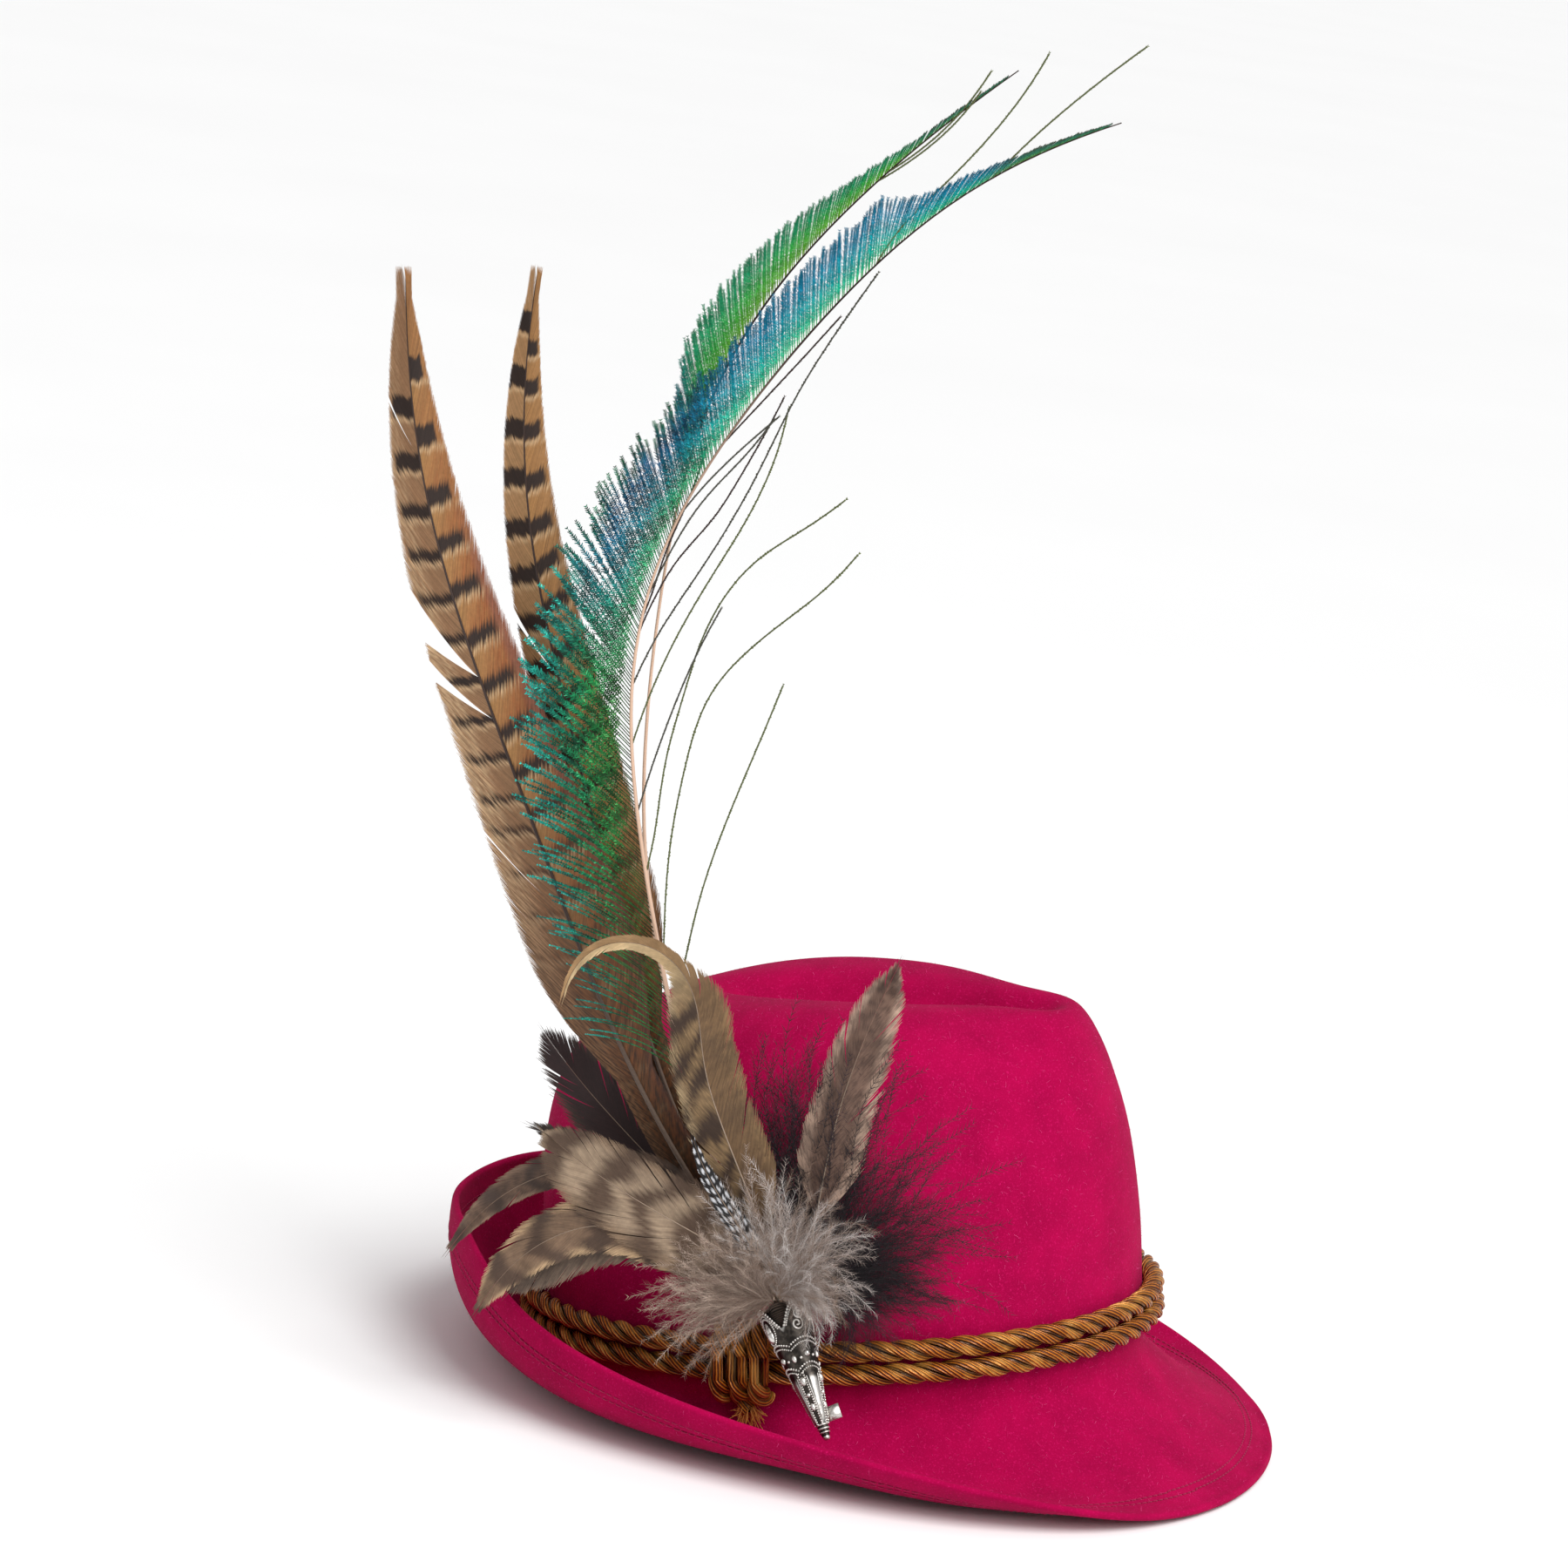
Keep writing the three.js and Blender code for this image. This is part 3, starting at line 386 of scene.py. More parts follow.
class Nodes:
    """A material's nodes and the shader that they feed."""

    def __init__(self, name, **values):
        self.material = bpy.data.materials.new(name)
        self.material.use_nodes = True
        self.tree = self.material.node_tree
        self.shader = self.tree.nodes["Principled BSDF"]
        for key, value in values.items():
            self.shader.inputs[key.replace("_", " ")].default_value = value

    def add(self, kind, inputs=(), **settings):
        node = self.tree.nodes.new("ShaderNode" + kind)
        for key, value in settings.items():
            setattr(node, key, value)
        for key, value in dict(inputs).items():
            if isinstance(value, bpy.types.NodeSocket):
                self.tree.links.new(value, node.inputs[key])
            else:
                node.inputs[key].default_value = value
        return node

    def noise(self, coordinates, scale, detail=3, roughness=0.5):
        wanted = {"Vector": coordinates, "Scale": scale, "Detail": detail, "Roughness": roughness}
        return self.add("TexNoise", wanted).outputs["Fac"]

    def work_out(self, kind, *values):
        return self.add("Math", dict(enumerate(values)), operation=kind).outputs[0]

    def ramp(self, factor, *stops):
        """A ramp from stops, each a place and a colour or a grey."""
        node = self.add("ValToRGB", {"Fac": factor})
        stripes = node.color_ramp.elements
        while len(stripes) < len(stops):
            stripes.new(0.5)
        for stripe, (place, colour) in zip(stripes, stops):
            stripe.position = place
            stripe.color = (*colour, 1) if isinstance(colour, tuple) else (colour, colour, colour, 1)
        return node.outputs["Color"]

    def blend(self, factor, first, second, kind="MIX"):
        colours = [one if isinstance(one, bpy.types.NodeSocket) else (*one, 1) for one in (first, second)]
        inputs = {0: factor, 6: colours[0], 7: colours[1]}
        return self.add("Mix", inputs, data_type="RGBA", blend_type=kind).outputs[2]

    def bump(self, *layers):
        """Bumps from (height, strength, distance), one over the other."""
        wanted = {}
        for height, strength, distance in layers:
            wanted.update(Height=height, Strength=strength, Distance=distance)
            wanted["Normal"] = self.add("Bump", wanted).outputs[0]
        self.feed("Normal", wanted["Normal"])

    def feed(self, key, socket):
        self.tree.links.new(socket, self.shader.inputs[key])

    def coordinates(self, kind="Object"):
        return self.add("TexCoord").outputs[kind]

    def tint(self):
        return self.add("Attribute", attribute_name="tint").outputs["Color"]


def felt_material():
    """Wool felt: a matted nap with paler fibre ends, deeper in the hollows of the mat."""
    n = Nodes("wool_felt", Roughness=0.95, Specular_IOR_Level=0.06, Sheen_Weight=0.06,
              Sheen_Roughness=0.4, Sheen_Tint=(1.0, 0.25, 0.5, 1))
    where = n.coordinates()
    cloud = n.noise(where, 60, 4, 0.6)
    fleck = n.noise(where, 1500, 2, 0.7)
    deep, plain, pale = (0.28, 0.0005, 0.041), (0.38, 0.0007, 0.056), (0.54, 0.007, 0.11)
    base = n.blend(n.ramp(cloud, (0.3, 0.0), (0.7, 1.0)), deep, plain)
    n.feed("Base Color", n.blend(n.ramp(fleck, (0.56, 0.0), (0.78, 1.0)), base, pale))
    n.bump((n.noise(where, 250, 4, 0.7), 0.35, 0.0006), (n.noise(where, 1200, 3, 0.8), 0.5, 0.0003))
    return n.material


def rope_material():
    """Satin yarn: fine yarns wound along each ply, gold on their crests, with painted shade in the grooves
    between the yarns and between the plies, and painted highlights in pale patches.
    """
    n = Nodes("satin_rope", Roughness=0.36, Specular_IOR_Level=0.6, Metallic=0.4)
    where = n.add("SeparateXYZ", {0: n.coordinates("UV")})
    around = n.work_out("MULTIPLY", where.outputs[0], YARNS * 2 * math.pi)
    ahead = n.work_out("MULTIPLY", where.outputs[1], YARN_TURN)
    even = n.work_out("ADD", around, ahead)
    uneven = n.work_out("MULTIPLY_ADD", n.noise(n.coordinates(), 500, 2), 2.5, even)
    wave = n.work_out("SINE", uneven)
    yarns = n.add("MapRange", {0: wave, 1: -1.0, 2: 1.0}).outputs[0]
    # dark is painted shade in the grooves between the yarns; gold is the yarns' own colour
    dark, gold, bright = (0.10, 0.018, 0.001), (0.58, 0.18, 0.012), (1.0, 0.52, 0.11)
    patch = n.noise(n.coordinates(), 120, 2)
    base = n.blend(n.ramp(yarns, (0.25, 0.0), (0.75, 1.0)), dark, gold)
    # bright is a painted highlight, laid in patches over the yarns
    base = n.blend(n.ramp(patch, (0.45, 0.0), (0.8, 0.7)), base, bright)
    # The tint multiplies in the painted shade between the plies, laid on by add_rope.
    n.feed("Base Color", n.blend(1.0, base, n.tint(), "MULTIPLY"))
    n.bump((yarns, 0.9, 0.0005))
    return n.material


# Felt body

def lift_to(floor, points):
    """The move that raises points of the leant hat to a height, where they hang below it."""
    return np.maximum(0, floor - pitched(points)[..., 2])[..., None] * pitched(np.eye(3))[:, 2]


def felt_skins(columns, crown_steps, brim_steps):
    """Outer and inner skin and the round edge between them, flattened where the hat stands."""
    turn = circle(columns)
    t = np.linspace(0, BREAK_ROW, crown_steps)[:, None]
    rows = np.concatenate([crown_point(t, turn[None]), brim_points(turn, brim_steps)[1:]])
    normals = felt_normals(rows)
    to_rim = lengths(rows[::-1])[::-1]
    seam = sum(np.exp(-(((to_rim - at) / SEAM_SPREAD) ** 2)) for at in STITCH_ROWS)
    half = FELT / 2 - SEAM_DEPTH * seam[..., None]
    outer, inner = rows + normals * half, rows - normals * half
    ahead = unit(rows[-1] - rows[-2])
    round_off = np.radians([60, 30, 0, -30, -60])[:, None, None]
    edge = rows[-1] + FELT / 2 * (ahead * np.cos(round_off) + normals[-1] * np.sin(round_off))
    low = np.concatenate([pitched(inner), pitched(edge)])[..., 2]
    floor = low.min() + FLATTENED
    lift = lift_to(floor, inner)
    return outer + lift, edge + lift_to(floor, edge), inner + lift, floor


def felt_body():
    """The hat's felt as one closed skin."""
    outer, edge, inner, _ = felt_skins(*FINE)
    skins = np.concatenate([outer, edge, inner[::-1]])
    shape = Shape()
    shape.add(skins, grid_faces(len(skins), FINE[0], True)[:, ::-1])
    return shape.piece("felt_body_skin", felt_material(), ["felt_body"])


# Ropes

def rope_centre(level, turn):
    """Middle of a rope against the crown's wall, at a turn from the front."""
    height = ROPE_LIFT + ROPE_RISE * np.cos(turn) + ROPE / 2 + level * (ROPE + GAP)
    return wall_point(height, turn) + outward(turn) * (FELT / 2 + GAP + ROPE / 2)


def add_rope(shape, centres, first, second, lay_turns, phase, diameter=ROPE, looped=True):
    """Three plies wound round a line of points, each a tube of fine yarns, with painted shade where they
    meet.
    """
    share = np.arange(len(centres)) / (len(centres) if looped else len(centres) - 1)
    turn = circle(PLY_SIDES)
    # Painted shade: each ply darkens towards the rope's middle, where it meets the other plies.
    shade = 0.05 + 0.95 * smooth(0.55 + 0.6 * np.cos(turn)) ** 1.5
    for ply in range(3):
        twist = phase + ply * 2 * np.pi / 3 + share * lay_turns * 2 * np.pi
        off = first * np.cos(twist)[:, None] + second * np.sin(twist)[:, None]
        line = centres + off * diameter * PLY_OFF
        ahead = np.roll(line, -1, 0) - np.roll(line, 1, 0) if looped else np.gradient(line, axis=0)
        ahead = unit(ahead)
        off = square_to(ahead, off)
        rings = line[:, None] + rings_round(off, np.cross(ahead, off), turn) * diameter * PLY_RADIUS
        uv = np.stack(np.broadcast_arrays(turn / (2 * np.pi), lengths(line)[:, None]), -1)
        faces = grid_faces(len(line), PLY_SIDES, True, looped)
        shape.add(rings, faces, np.repeat(np.tile(shade, len(line)), 3), uv)


def rope_band(name, level, material):
    """A rope laid once round the crown; level 0 is the lower one."""
    around = np.pi * (HALF_LENGTH + HALF_WIDTH + FELT + ROPE)
    turns = round(around / ROPE_LAY)
    turn = circle(turns * LAY_STEPS)
    out = outward(turn)
    shape = Shape()
    add_rope(shape, rope_centre(level, turn), out, UP, -turns, 0.6 * level)
    return shape.piece(name + "_plies", material, [name])


def knot_frame():
    """The knot's turn round the crown and its directions: out and to the side."""
    turn = np.array(math.radians(KNOT_AT))
    out = outward(turn)
    return turn, out, np.cross(UP, out)


def knot(material):
    """Three wraps of rope round both bands, and a short frayed end below them."""
    turn, out, side = knot_frame()
    reach = ROPE / 2 + GAP + KNOT_ROPE / 2
    shape = Shape()
    for wrap in range(KNOT_WRAPS):
        aside = (wrap - (KNOT_WRAPS - 1) / 2) * KNOT_ROPE * WRAP_SPACING
        centres, arms = [], []
        for level, angles in ((1, np.linspace(92, 0, 30)), (0, np.linspace(-4, -92, 30))):
            angles = np.radians(angles)[:, None]
            arm = out * np.cos(angles) + UP * np.sin(angles)
            centres.append(rope_centre(level, turn) + arm * reach + side * aside)
            arms.append(arm)
        arms = np.concatenate(arms)
        add_rope(shape, np.concatenate(centres), arms, side, WRAP_TURNS, 0.9 * wrap, KNOT_ROPE, False)
    root = rope_centre(0, turn) - UP * (reach - 1) + out * KNOT_ROPE * 0.35
    end = np.linspace(0, 1, 14)[:, None]
    tail = root - UP * KNOT_TAIL * end + out * 2 * end + side * 2 * end
    add_rope(shape, tail, out, side, 0.3, 0.4, KNOT_ROPE * 0.85, False)
    return shape.piece("rope_knot_wraps", material, ["rope_knot"])


def frayed_end(material):
    """Loose yarns at the knot's end."""
    turn, out, side = knot_frame()
    foot = rope_centre(0, turn) - UP * (ROPE / 2 + KNOT_ROPE / 2 + KNOT_TAIL - 2) + out * 4.4 + side * 2
    s = np.linspace(0, 1, 8)[None, :, None]
    spread = DICE.normal(size=(FRAY_YARNS, 1, 3)) * [1.3, 1.3, 0.6]
    curl = DICE.normal(size=(FRAY_YARNS, 1, 3)) * 1.2
    drop = DICE.uniform(2, 6, (FRAY_YARNS, 1, 1))
    lines = foot + spread + s * (-UP * drop + spread * 0.9) + curl * s ** 2
    shape = Shape()
    add_tubes(shape, lines, 0.13, 4, srgb(196, 128, 48), start=side)
    return shape.piece("rope_knot_fray", material, [])


# Felt's thread and nap

def rim_seams(material):
    """Two rows of stitches near the rim, on both faces of the brim."""
    turn = circle(STITCHES * 4)
    rows = brim_points(turn, 120)
    normals = felt_normals(rows)
    run = lengths(rows[::-1])[::-1]
    floor = felt_skins(*COARSE)[3]
    dip = np.tile([0.1, 0.28, 0.28, 0.1], STITCHES)[:, None]
    shape = Shape()
    for at in STITCH_ROWS:
        pick = (np.argmin(np.abs(run - at), 0), np.arange(len(turn)))
        for face in (-1, 1):
            line = rows[pick] + normals[pick] * face * (FELT / 2 - 0.3 + dip)
            line = line + lift_to(floor + 0.05, line)
            add_tubes(shape, line.reshape(STITCHES, 4, 3), 0.24, 5, srgb(146, 0, 62))
    return shape.piece("felt_body_stitches", material, [])


def felt_nap(material):
    """Short loose fibres that stand off the felt."""
    columns, crown_steps, _ = NAPPED
    outer, _, inner, _ = felt_skins(*NAPPED)
    s = np.linspace(0, 1, 4)[None, :, None]
    shape = Shape()
    for skin, share, face in ((outer, 0.7, 1), (inner, 0.3, -1)):
        number = int(NAP_FIBRES * share)
        area = np.linalg.norm(np.roll(skin, -1, 1) - skin, axis=-1)[:-1]
        area = area * np.linalg.norm(np.diff(skin, axis=0), axis=-1)
        if face < 0:
            area[:crown_steps] *= 0.1
        places = DICE.choice(area.size, number, p=(area / area.sum()).ravel())
        i, j = np.divmod(places, columns)
        normals = felt_normals(skin) * face
        a, b = DICE.random((2, number, 1))
        along_row = np.roll(skin, -1, 1)[i, j] - skin[i, j]
        root = skin[i, j] + along_row * a + (skin[i + 1, j] - skin[i, j]) * b
        up = normals[i, j]
        lean = square_to(up, unit(DICE.normal(size=(number, 3))))
        length = DICE.uniform(0.5, 1.5, (number, 1, 1))
        curl = DICE.normal(size=(number, 1, 3)) * 0.25
        lines = root[:, None] - up[:, None] * 0.1
        lines = lines + length * (lean[:, None] * s + up[:, None] * 0.45 * np.sin(s * 2.2) + curl * s ** 2)
        sides = np.cross(lean, up)[:, None] * 0.035 * (1 - 0.6 * s)
        tone = mix(srgb(200, 20, 100), srgb(236, 92, 160), DICE.random((number, 1, 1)) ** 2)
        add_ribbons(shape, lines, sides, tone)
    return shape.piece("felt_body_nap", material, [])


# Feathers

def pin_frame():
    """The pin's tip and its directions: along the cone, to the crown and to the back."""
    axis = unit(np.array([math.tan(math.radians(PIN_IN)), math.tan(math.radians(PIN_BACK)), 1]))
    inward = square_to(axis, -OUT)
    turn = math.radians(PIN_AT)
    seat = rope_centre(1, np.array(turn)) + outward(np.array(turn)) * (ROPE / 2 + PIN_SEAT)
    tip = seat - inward * (POST_FROM + POST_LENGTH) - axis * MOUTH_HEIGHT * POST_AT
    return tip, axis, inward, np.cross(axis, inward)


def leaning(lean):
    """Direction in the plume's plane that leans from upright to the front, in radians."""
    return np.stack([0 * lean, -np.sin(lean), np.cos(lean)], -1)


def layer_place(layer):
    """How far out from the crown a layer of the plume lies at its root."""
    return LAYER_START + layer * LAYER


def plume_root(layer, across):
    """Where a quill or a tuft starts, over the cone's mouth."""
    tip, axis, inward, backward = pin_frame()
    root = tip + axis * (PIN_LENGTH + GAP + ROOT_GAP)
    return root - inward * layer_place(layer) - backward * across * LAYER


class Quill:
    """A quill's line in its layer of the plume."""

    STEPS = 300

    def __init__(self, row):
        root = plume_root(row.layer, row.across)
        self.length = row.length
        u = np.arange(self.STEPS + 1) / self.STEPS
        self.u = u
        self.lean = np.radians(along(row.lean, u * (len(row.lean) - 1)))
        step = leaning(self.lean[:-1]) * row.length / self.STEPS
        self.line = root + np.concatenate([np.zeros((1, 3)), np.cumsum(step, 0)])
        self.line[:, 0] = root[0] - layer_place(row.layer) * u * row.length / FAN_LENGTH

    def at(self, u):
        """Place and lean at a share of the quill; past its end it goes straight on."""
        u = np.asarray(u, float)
        inside = np.clip(u, 0, 1)
        place = rows_at(inside, self.u, self.line)
        lean = np.interp(inside, self.u, self.lean)
        return place + leaning(lean) * ((u - inside) * self.length)[..., None], lean


def add_quill(shape, quill, thick, thin, colour):
    """The shaft of a feather, thick at its root."""
    u = np.linspace(0, 0.995, QUILL_STEPS)
    place, _ = quill.at(u)
    radii = mix(thick, thin, u ** 0.7)
    add_tubes(shape, place[None], radii[None], 6, colour, start=OUT)


def add_vane(shape, quill, side, width, colour, start, cup, splits, flares,
             spacing, turn, ragged, steps, cover, wave):
    """Barbs of one vane, side -1 for the left and 1 for the right.

    width(u) is the vane's width; colour(u, d, w) the colour at a share of the quill and a distance
    from it; splits are (place, opening) pairs, where the vane is parted at its edge, and flares
    (place, span, turn) below which the barbs stand further out. wave is how far the edge waves.
    """
    count = int(quill.length * (VANE_END - start) / spacing)
    u0 = np.linspace(start, VANE_END, count)
    angle = np.radians(np.interp(u0, [start, 0.9, VANE_END], [*turn, TIP_TURN]))
    for place, span, more in flares:
        angle = angle + np.radians(more) * np.exp(-(((u0 - place) / span) ** 2)) * (u0 < place)
    low, high = np.zeros(count), np.full(count, 40.0)
    for _ in range(16):
        d = (low + high) / 2
        tip = u0 + d / np.tan(angle) * (1 + BARB_BEND) / quill.length
        inside = d < np.where(tip < 1, width(tip), 0)
        low, high = np.where(inside, d, low), np.where(inside, high, d)
    d = np.maximum(d, 0.3) * (1 + ragged * DICE.normal(size=count))
    s = np.linspace(0, 1, steps)[None]
    reach = d[:, None] * s
    sweep = reach / np.tan(angle)[:, None] * (1 + BARB_BEND * s)
    for place, opening in splits:
        apart = (u0 - place) * quill.length
        sweep += (np.sign(apart) * opening / 2 * np.exp(-np.abs(apart) / (2.2 * opening)))[:, None] * s ** 1.6
    sweep += DICE.normal(size=(count, 1)) * ragged * 4 * s ** 2
    u = u0[:, None] + sweep / quill.length
    place, lean = quill.at(u)
    right = leaning(lean + np.pi / 2)
    off = VANE_OFF + reach
    out = cup * s * u * quill.length / FAN_LENGTH + wave * wander(u * quill.length * 0.22, side + 40) * s
    centres = place + side * right * off[..., None] + OUT * out[..., None]
    ahead = unit(np.gradient(centres, axis=1))
    flat = unit(np.cross(ahead, OUT))
    across = flat * math.cos(BARB_TILT) + OUT * math.sin(BARB_TILT)
    half = spacing * np.sin(angle)[:, None] * cover * np.interp(s, [0, 0.85, 1], [1, 1, 0.25])
    tint = colour(u, reach, width(np.minimum(u, 1)))
    add_ribbons(shape, centres, across * half[..., None], tint)


def wander(x, seed, octaves=4):
    """A smooth irregular line through 0, between about -1 and 1, for places x."""
    dice = np.random.default_rng(seed)
    total = 0
    for k in range(octaves):
        total = total + np.sin(x * (1.7 ** k) * dice.uniform(0.8, 1.2) + dice.uniform(0, 6.3)) * 0.6 ** k
    return total / 2


def speckle(a, b, seed):
    """Irregular spots between 0 and 1 over two coordinates."""
    dice = np.random.default_rng(seed)
    total = 0
    for k in range(7):
        x, y = dice.normal(size=2) * 1.25 ** k
        total = total + np.sin(a * x + b * y + dice.uniform(0, 6.3))
    return smooth(total / 5 + 0.5)


def tail_colour(quill, look):
    """Buff with dark bars, mottled to the edge and rusty to the front."""
    def colour(u, d, w):
        v = u * quill.length
        edge = np.clip(d / np.maximum(w, 0.5), 0, 1)
        streak = DICE.normal(size=(u.shape[0], 1)) * 0.07
        wave = wander(d * 1.6 + v * 0.05, look.seed) * 0.7 + wander(d * 5, look.seed + 1) * 0.3
        place = (v - look.slant * d - wave)[..., None]
        below = look.bars[-1] - LOW_BARS * np.arange(1, 20)
        away = np.concatenate([look.bars, below]) - place
        off = np.abs(away).min(-1)
        above = np.where(away > 0, away, LOW_BARS).min(-1)
        half = np.interp(v, [150, 250, 295], look.half)
        bar = 1 - smooth((off - half) / 0.5 + 0.5)
        bar = bar * smooth((look.bar_to - edge) / 0.08 + 0.5)
        pale_line = np.exp(-(((off - half - 0.9) / 0.6) ** 2)) * (above < off + 0.01) * 0.8
        mottle = speckle(v * 2.0, d * 2.4, look.seed + 2)
        rust = smooth(above / LOW_BARS * 0.8 - 0.4 + edge * 1.3) * look.rust
        rust = rust * np.interp(v, [60, 240, 300], [1, 0.8, 0.3])
        base = tinted(look.base, look.rusty, rust * (0.6 + 0.4 * mottle))
        patch = mottle * smooth((edge - 0.35) * 3) * look.mottle
        base = tinted(base, look.pale, patch * np.interp(v, [80, 220, 330], [1, 0.8, 0.1]))
        fringe = smooth((edge - look.fringe_from) * 6) * np.interp(v, [120, 240, 270], [1, 0.7, 0])
        base = tinted(base, look.fringe, fringe * look.fringe_share)
        base = tinted(base, look.pale, pale_line * (1 - fringe))
        bar = bar * np.interp(v, [110, 170], [0.3, 1])
        tone = tinted(base, look.dark, np.clip(bar, 0, 1))
        low = 1 - smooth((v - 95) / 90)
        tone = tinted(tone, tinted(look.dark, look.low, mottle), low * 0.8)
        # Painted shade: darker towards the root, among the plume's other feathers; streak varies each barb at
        # random.
        shade = np.interp(v, [40, 90, 150], [0.5, 0.75, 1]) * (1 + 1.6 * streak)
        return tone * shade[..., None]
    return colour


def soft_colour(quill, look):
    """A soft feather: a base that turns to another colour at its edge, with soft bars and streaks."""
    def colour(u, d, w):
        v = u * quill.length
        edge = np.clip(d / np.maximum(w, 0.5), 0, 1)
        streak = DICE.normal(size=(u.shape[0], 1))
        base = tinted(look.base, look.edge, smooth((edge - look.edge_from) * 3))
        spots = speckle(v * 0.9, d * 1.1 + streak * 0.3, look.seed)
        base = tinted(base, look.dark, spots * look.mottle)
        if look.period:
            wave = 3.5 * wander(v * 0.12 + d * 0.35, look.seed + 1)
            phase = (v + look.slant * d + wave) / look.period
            bar = smooth(0.5 + look.sharp * (np.cos(phase * 2 * np.pi) - look.gap))
            base = tinted(base, look.dark, bar)
        pale = smooth((v - look.pale_from) / 20)
        base = tinted(base, look.edge * 1.25, pale * 0.85)
        shade = np.interp(v, [0, SHADED_ROOT], [0.4, 1]) * (1 + 0.06 * streak)
        return base * shade[..., None]
    return colour


def spotted_colour(quill, look):
    """Black, with rows of white spots along the barbs."""
    def colour(u, d, w):
        v = u * quill.length + 0.6 * d
        row = np.floor(d / SPOT_ROWS)
        x = (v / SPOTS_APART + 0.5 * (row % 2)) % 1 - 0.5
        y = d / SPOT_ROWS % 1 - 0.5
        spot = 1 - smooth((np.hypot(x * 2.1, y * 2.4) - 0.62) * 5 + 0.5)
        return tinted(look.dark, look.pale, spot)
    return colour


def vane_profile(feather, side):
    """The function that gives a vane's width at a share of the quill."""
    whole = feather.left if side < 0 else feather.right

    def width(u):
        u = np.clip(u, 0, 1)
        full = smooth((u - feather.bare) / 0.22) * np.maximum((1 - u ** feather.taper) ** 0.75, BLUNT)
        if feather.slot == "pheasant":
            full = np.maximum(full, LOW_VANE * smooth((u - 0.05) / 0.06) * (u < 0.5))
        slim = SLIM.get(feather.name, 1)
        return whole * full * (1 - (1 - slim) * smooth((u - 0.6) / 0.14))
    return width


FEATHERS = table(
    "name slot length lean left right layer across bare taper cup",
    ("pheasant_tail_left", "pheasant", 336, [-39, -23, -19, 0], 17, 20, 0, -0.96, 0.16, 2.5, 0.4),
    ("pheasant_tail_right", "pheasant", 326, [-36, -16, -13, 9], 12, 16, -1, -0.64, 0.2, 2.5, 0.4),
    ("hackle_dark_upper", "dark_feather", 110, [-44, -46, -46, -38], 12, 13, -2, -0.48, 0.12, 8, -0.3),
    ("hackle_dark_lower", "dark_feather", 94, [-60, -55, -55, -70], 9, 9, -3, -2.4, 0.12, 4, -0.3),
    ("hackle_twisted", "hackle", 108, [16, 10, 19, 26], 9, 11, -1, 2.88, 0.2, 6, 0.6),
    ("hackle_barred", "hackle", 85, [-26, -58, -56, -47], 14, 13, 6.4, -2.08, 0.1, 8, 0.3),
    ("hackle_curled", "hackle", 153, [-6, -20, -18, -8, -82, -168], 11, 12, 4, 0.16, 0.08, 3, 0.3),
    ("hackle_droop_upper", "hackle", 124, [-31, -53, -107, -145], 7, 9, 3.6, -2.4, 0.12, 2.4, 0.3),
    ("hackle_droop_middle", "hackle", 92, [-48, -62, -112, -138], 11, 13, 4.6, -2.2, 0.12, 7, 0.3),
    ("hackle_droop_lower", "hackle", 103, [-57, -62, -114, -150], 9, 10, 6, -1.92, 0.12, 4, 0.3),
    ("guinea_feather", "dark_feather", 56, [-10, -29, -28, -14], 4, 4, 8, 0.72, 0.2, 2.4, 0.2),
)
ONLY_HERE = ["hackle_droop_middle"]  # no solid stands for it
SLIM = {"hackle_curled": 0.36}  # width of a vane that thins to its tip, as a share
LOW_BARS = 13.5  # space between the bars of the lower quill
SHADED_ROOT = 25  # length at a soft feather's root that lies in shade
SPOT_ROWS, SPOTS_APART = 1.5, 3.4
# bars are the places of the dark bars along the quill, half their half widths from low to high
TAIL_LOOKS = table(
    "name side seed slant half bar_to rust mottle fringe_from fringe_share base fringe bars",
    ("pheasant_tail_left", -1, 11, 0.25, [0.9, 1.8, 3.2], 0.85, 0.15, 0.95, 0.9, 0.0,
     (158, 120, 86), (138, 84, 74), [293.5, 277, 262, 248.5, 235, 222.5, 209.5, 197, 185, 172, 162]),
    ("pheasant_tail_left", 1, 12, 0.15, [2.0, 2.5, 3.6], 0.74, 0.95, 0.0, 0.66, 0.8,
     (176, 128, 76), (138, 84, 74), [305, 284.5, 266, 251.5, 237, 221.7, 207, 192, 179, 166]),
    ("pheasant_tail_right", -1, 13, 0.1, [2.6, 2.7, 3.2], 1.1, 0.1, 0.1, 0.9, 0.0,
     (180, 140, 96), (138, 84, 74), [309, 292.5, 277, 262.5, 247.5, 233.4, 219, 205]),
    ("pheasant_tail_right", 1, 14, 0.4, [2.0, 2.6, 2.4], 0.8, 0.15, 0.12, 0.8, 0.7,
     (176, 128, 76), (140, 104, 72), [300.7, 288.7, 275.4, 260.5, 246.8, 235, 222.5, 208]),
)
TAIL_COLOURS = {"rusty": (160, 82, 38), "pale": (222, 190, 148), "dark": (50, 34, 27), "low": (136, 80, 42)}
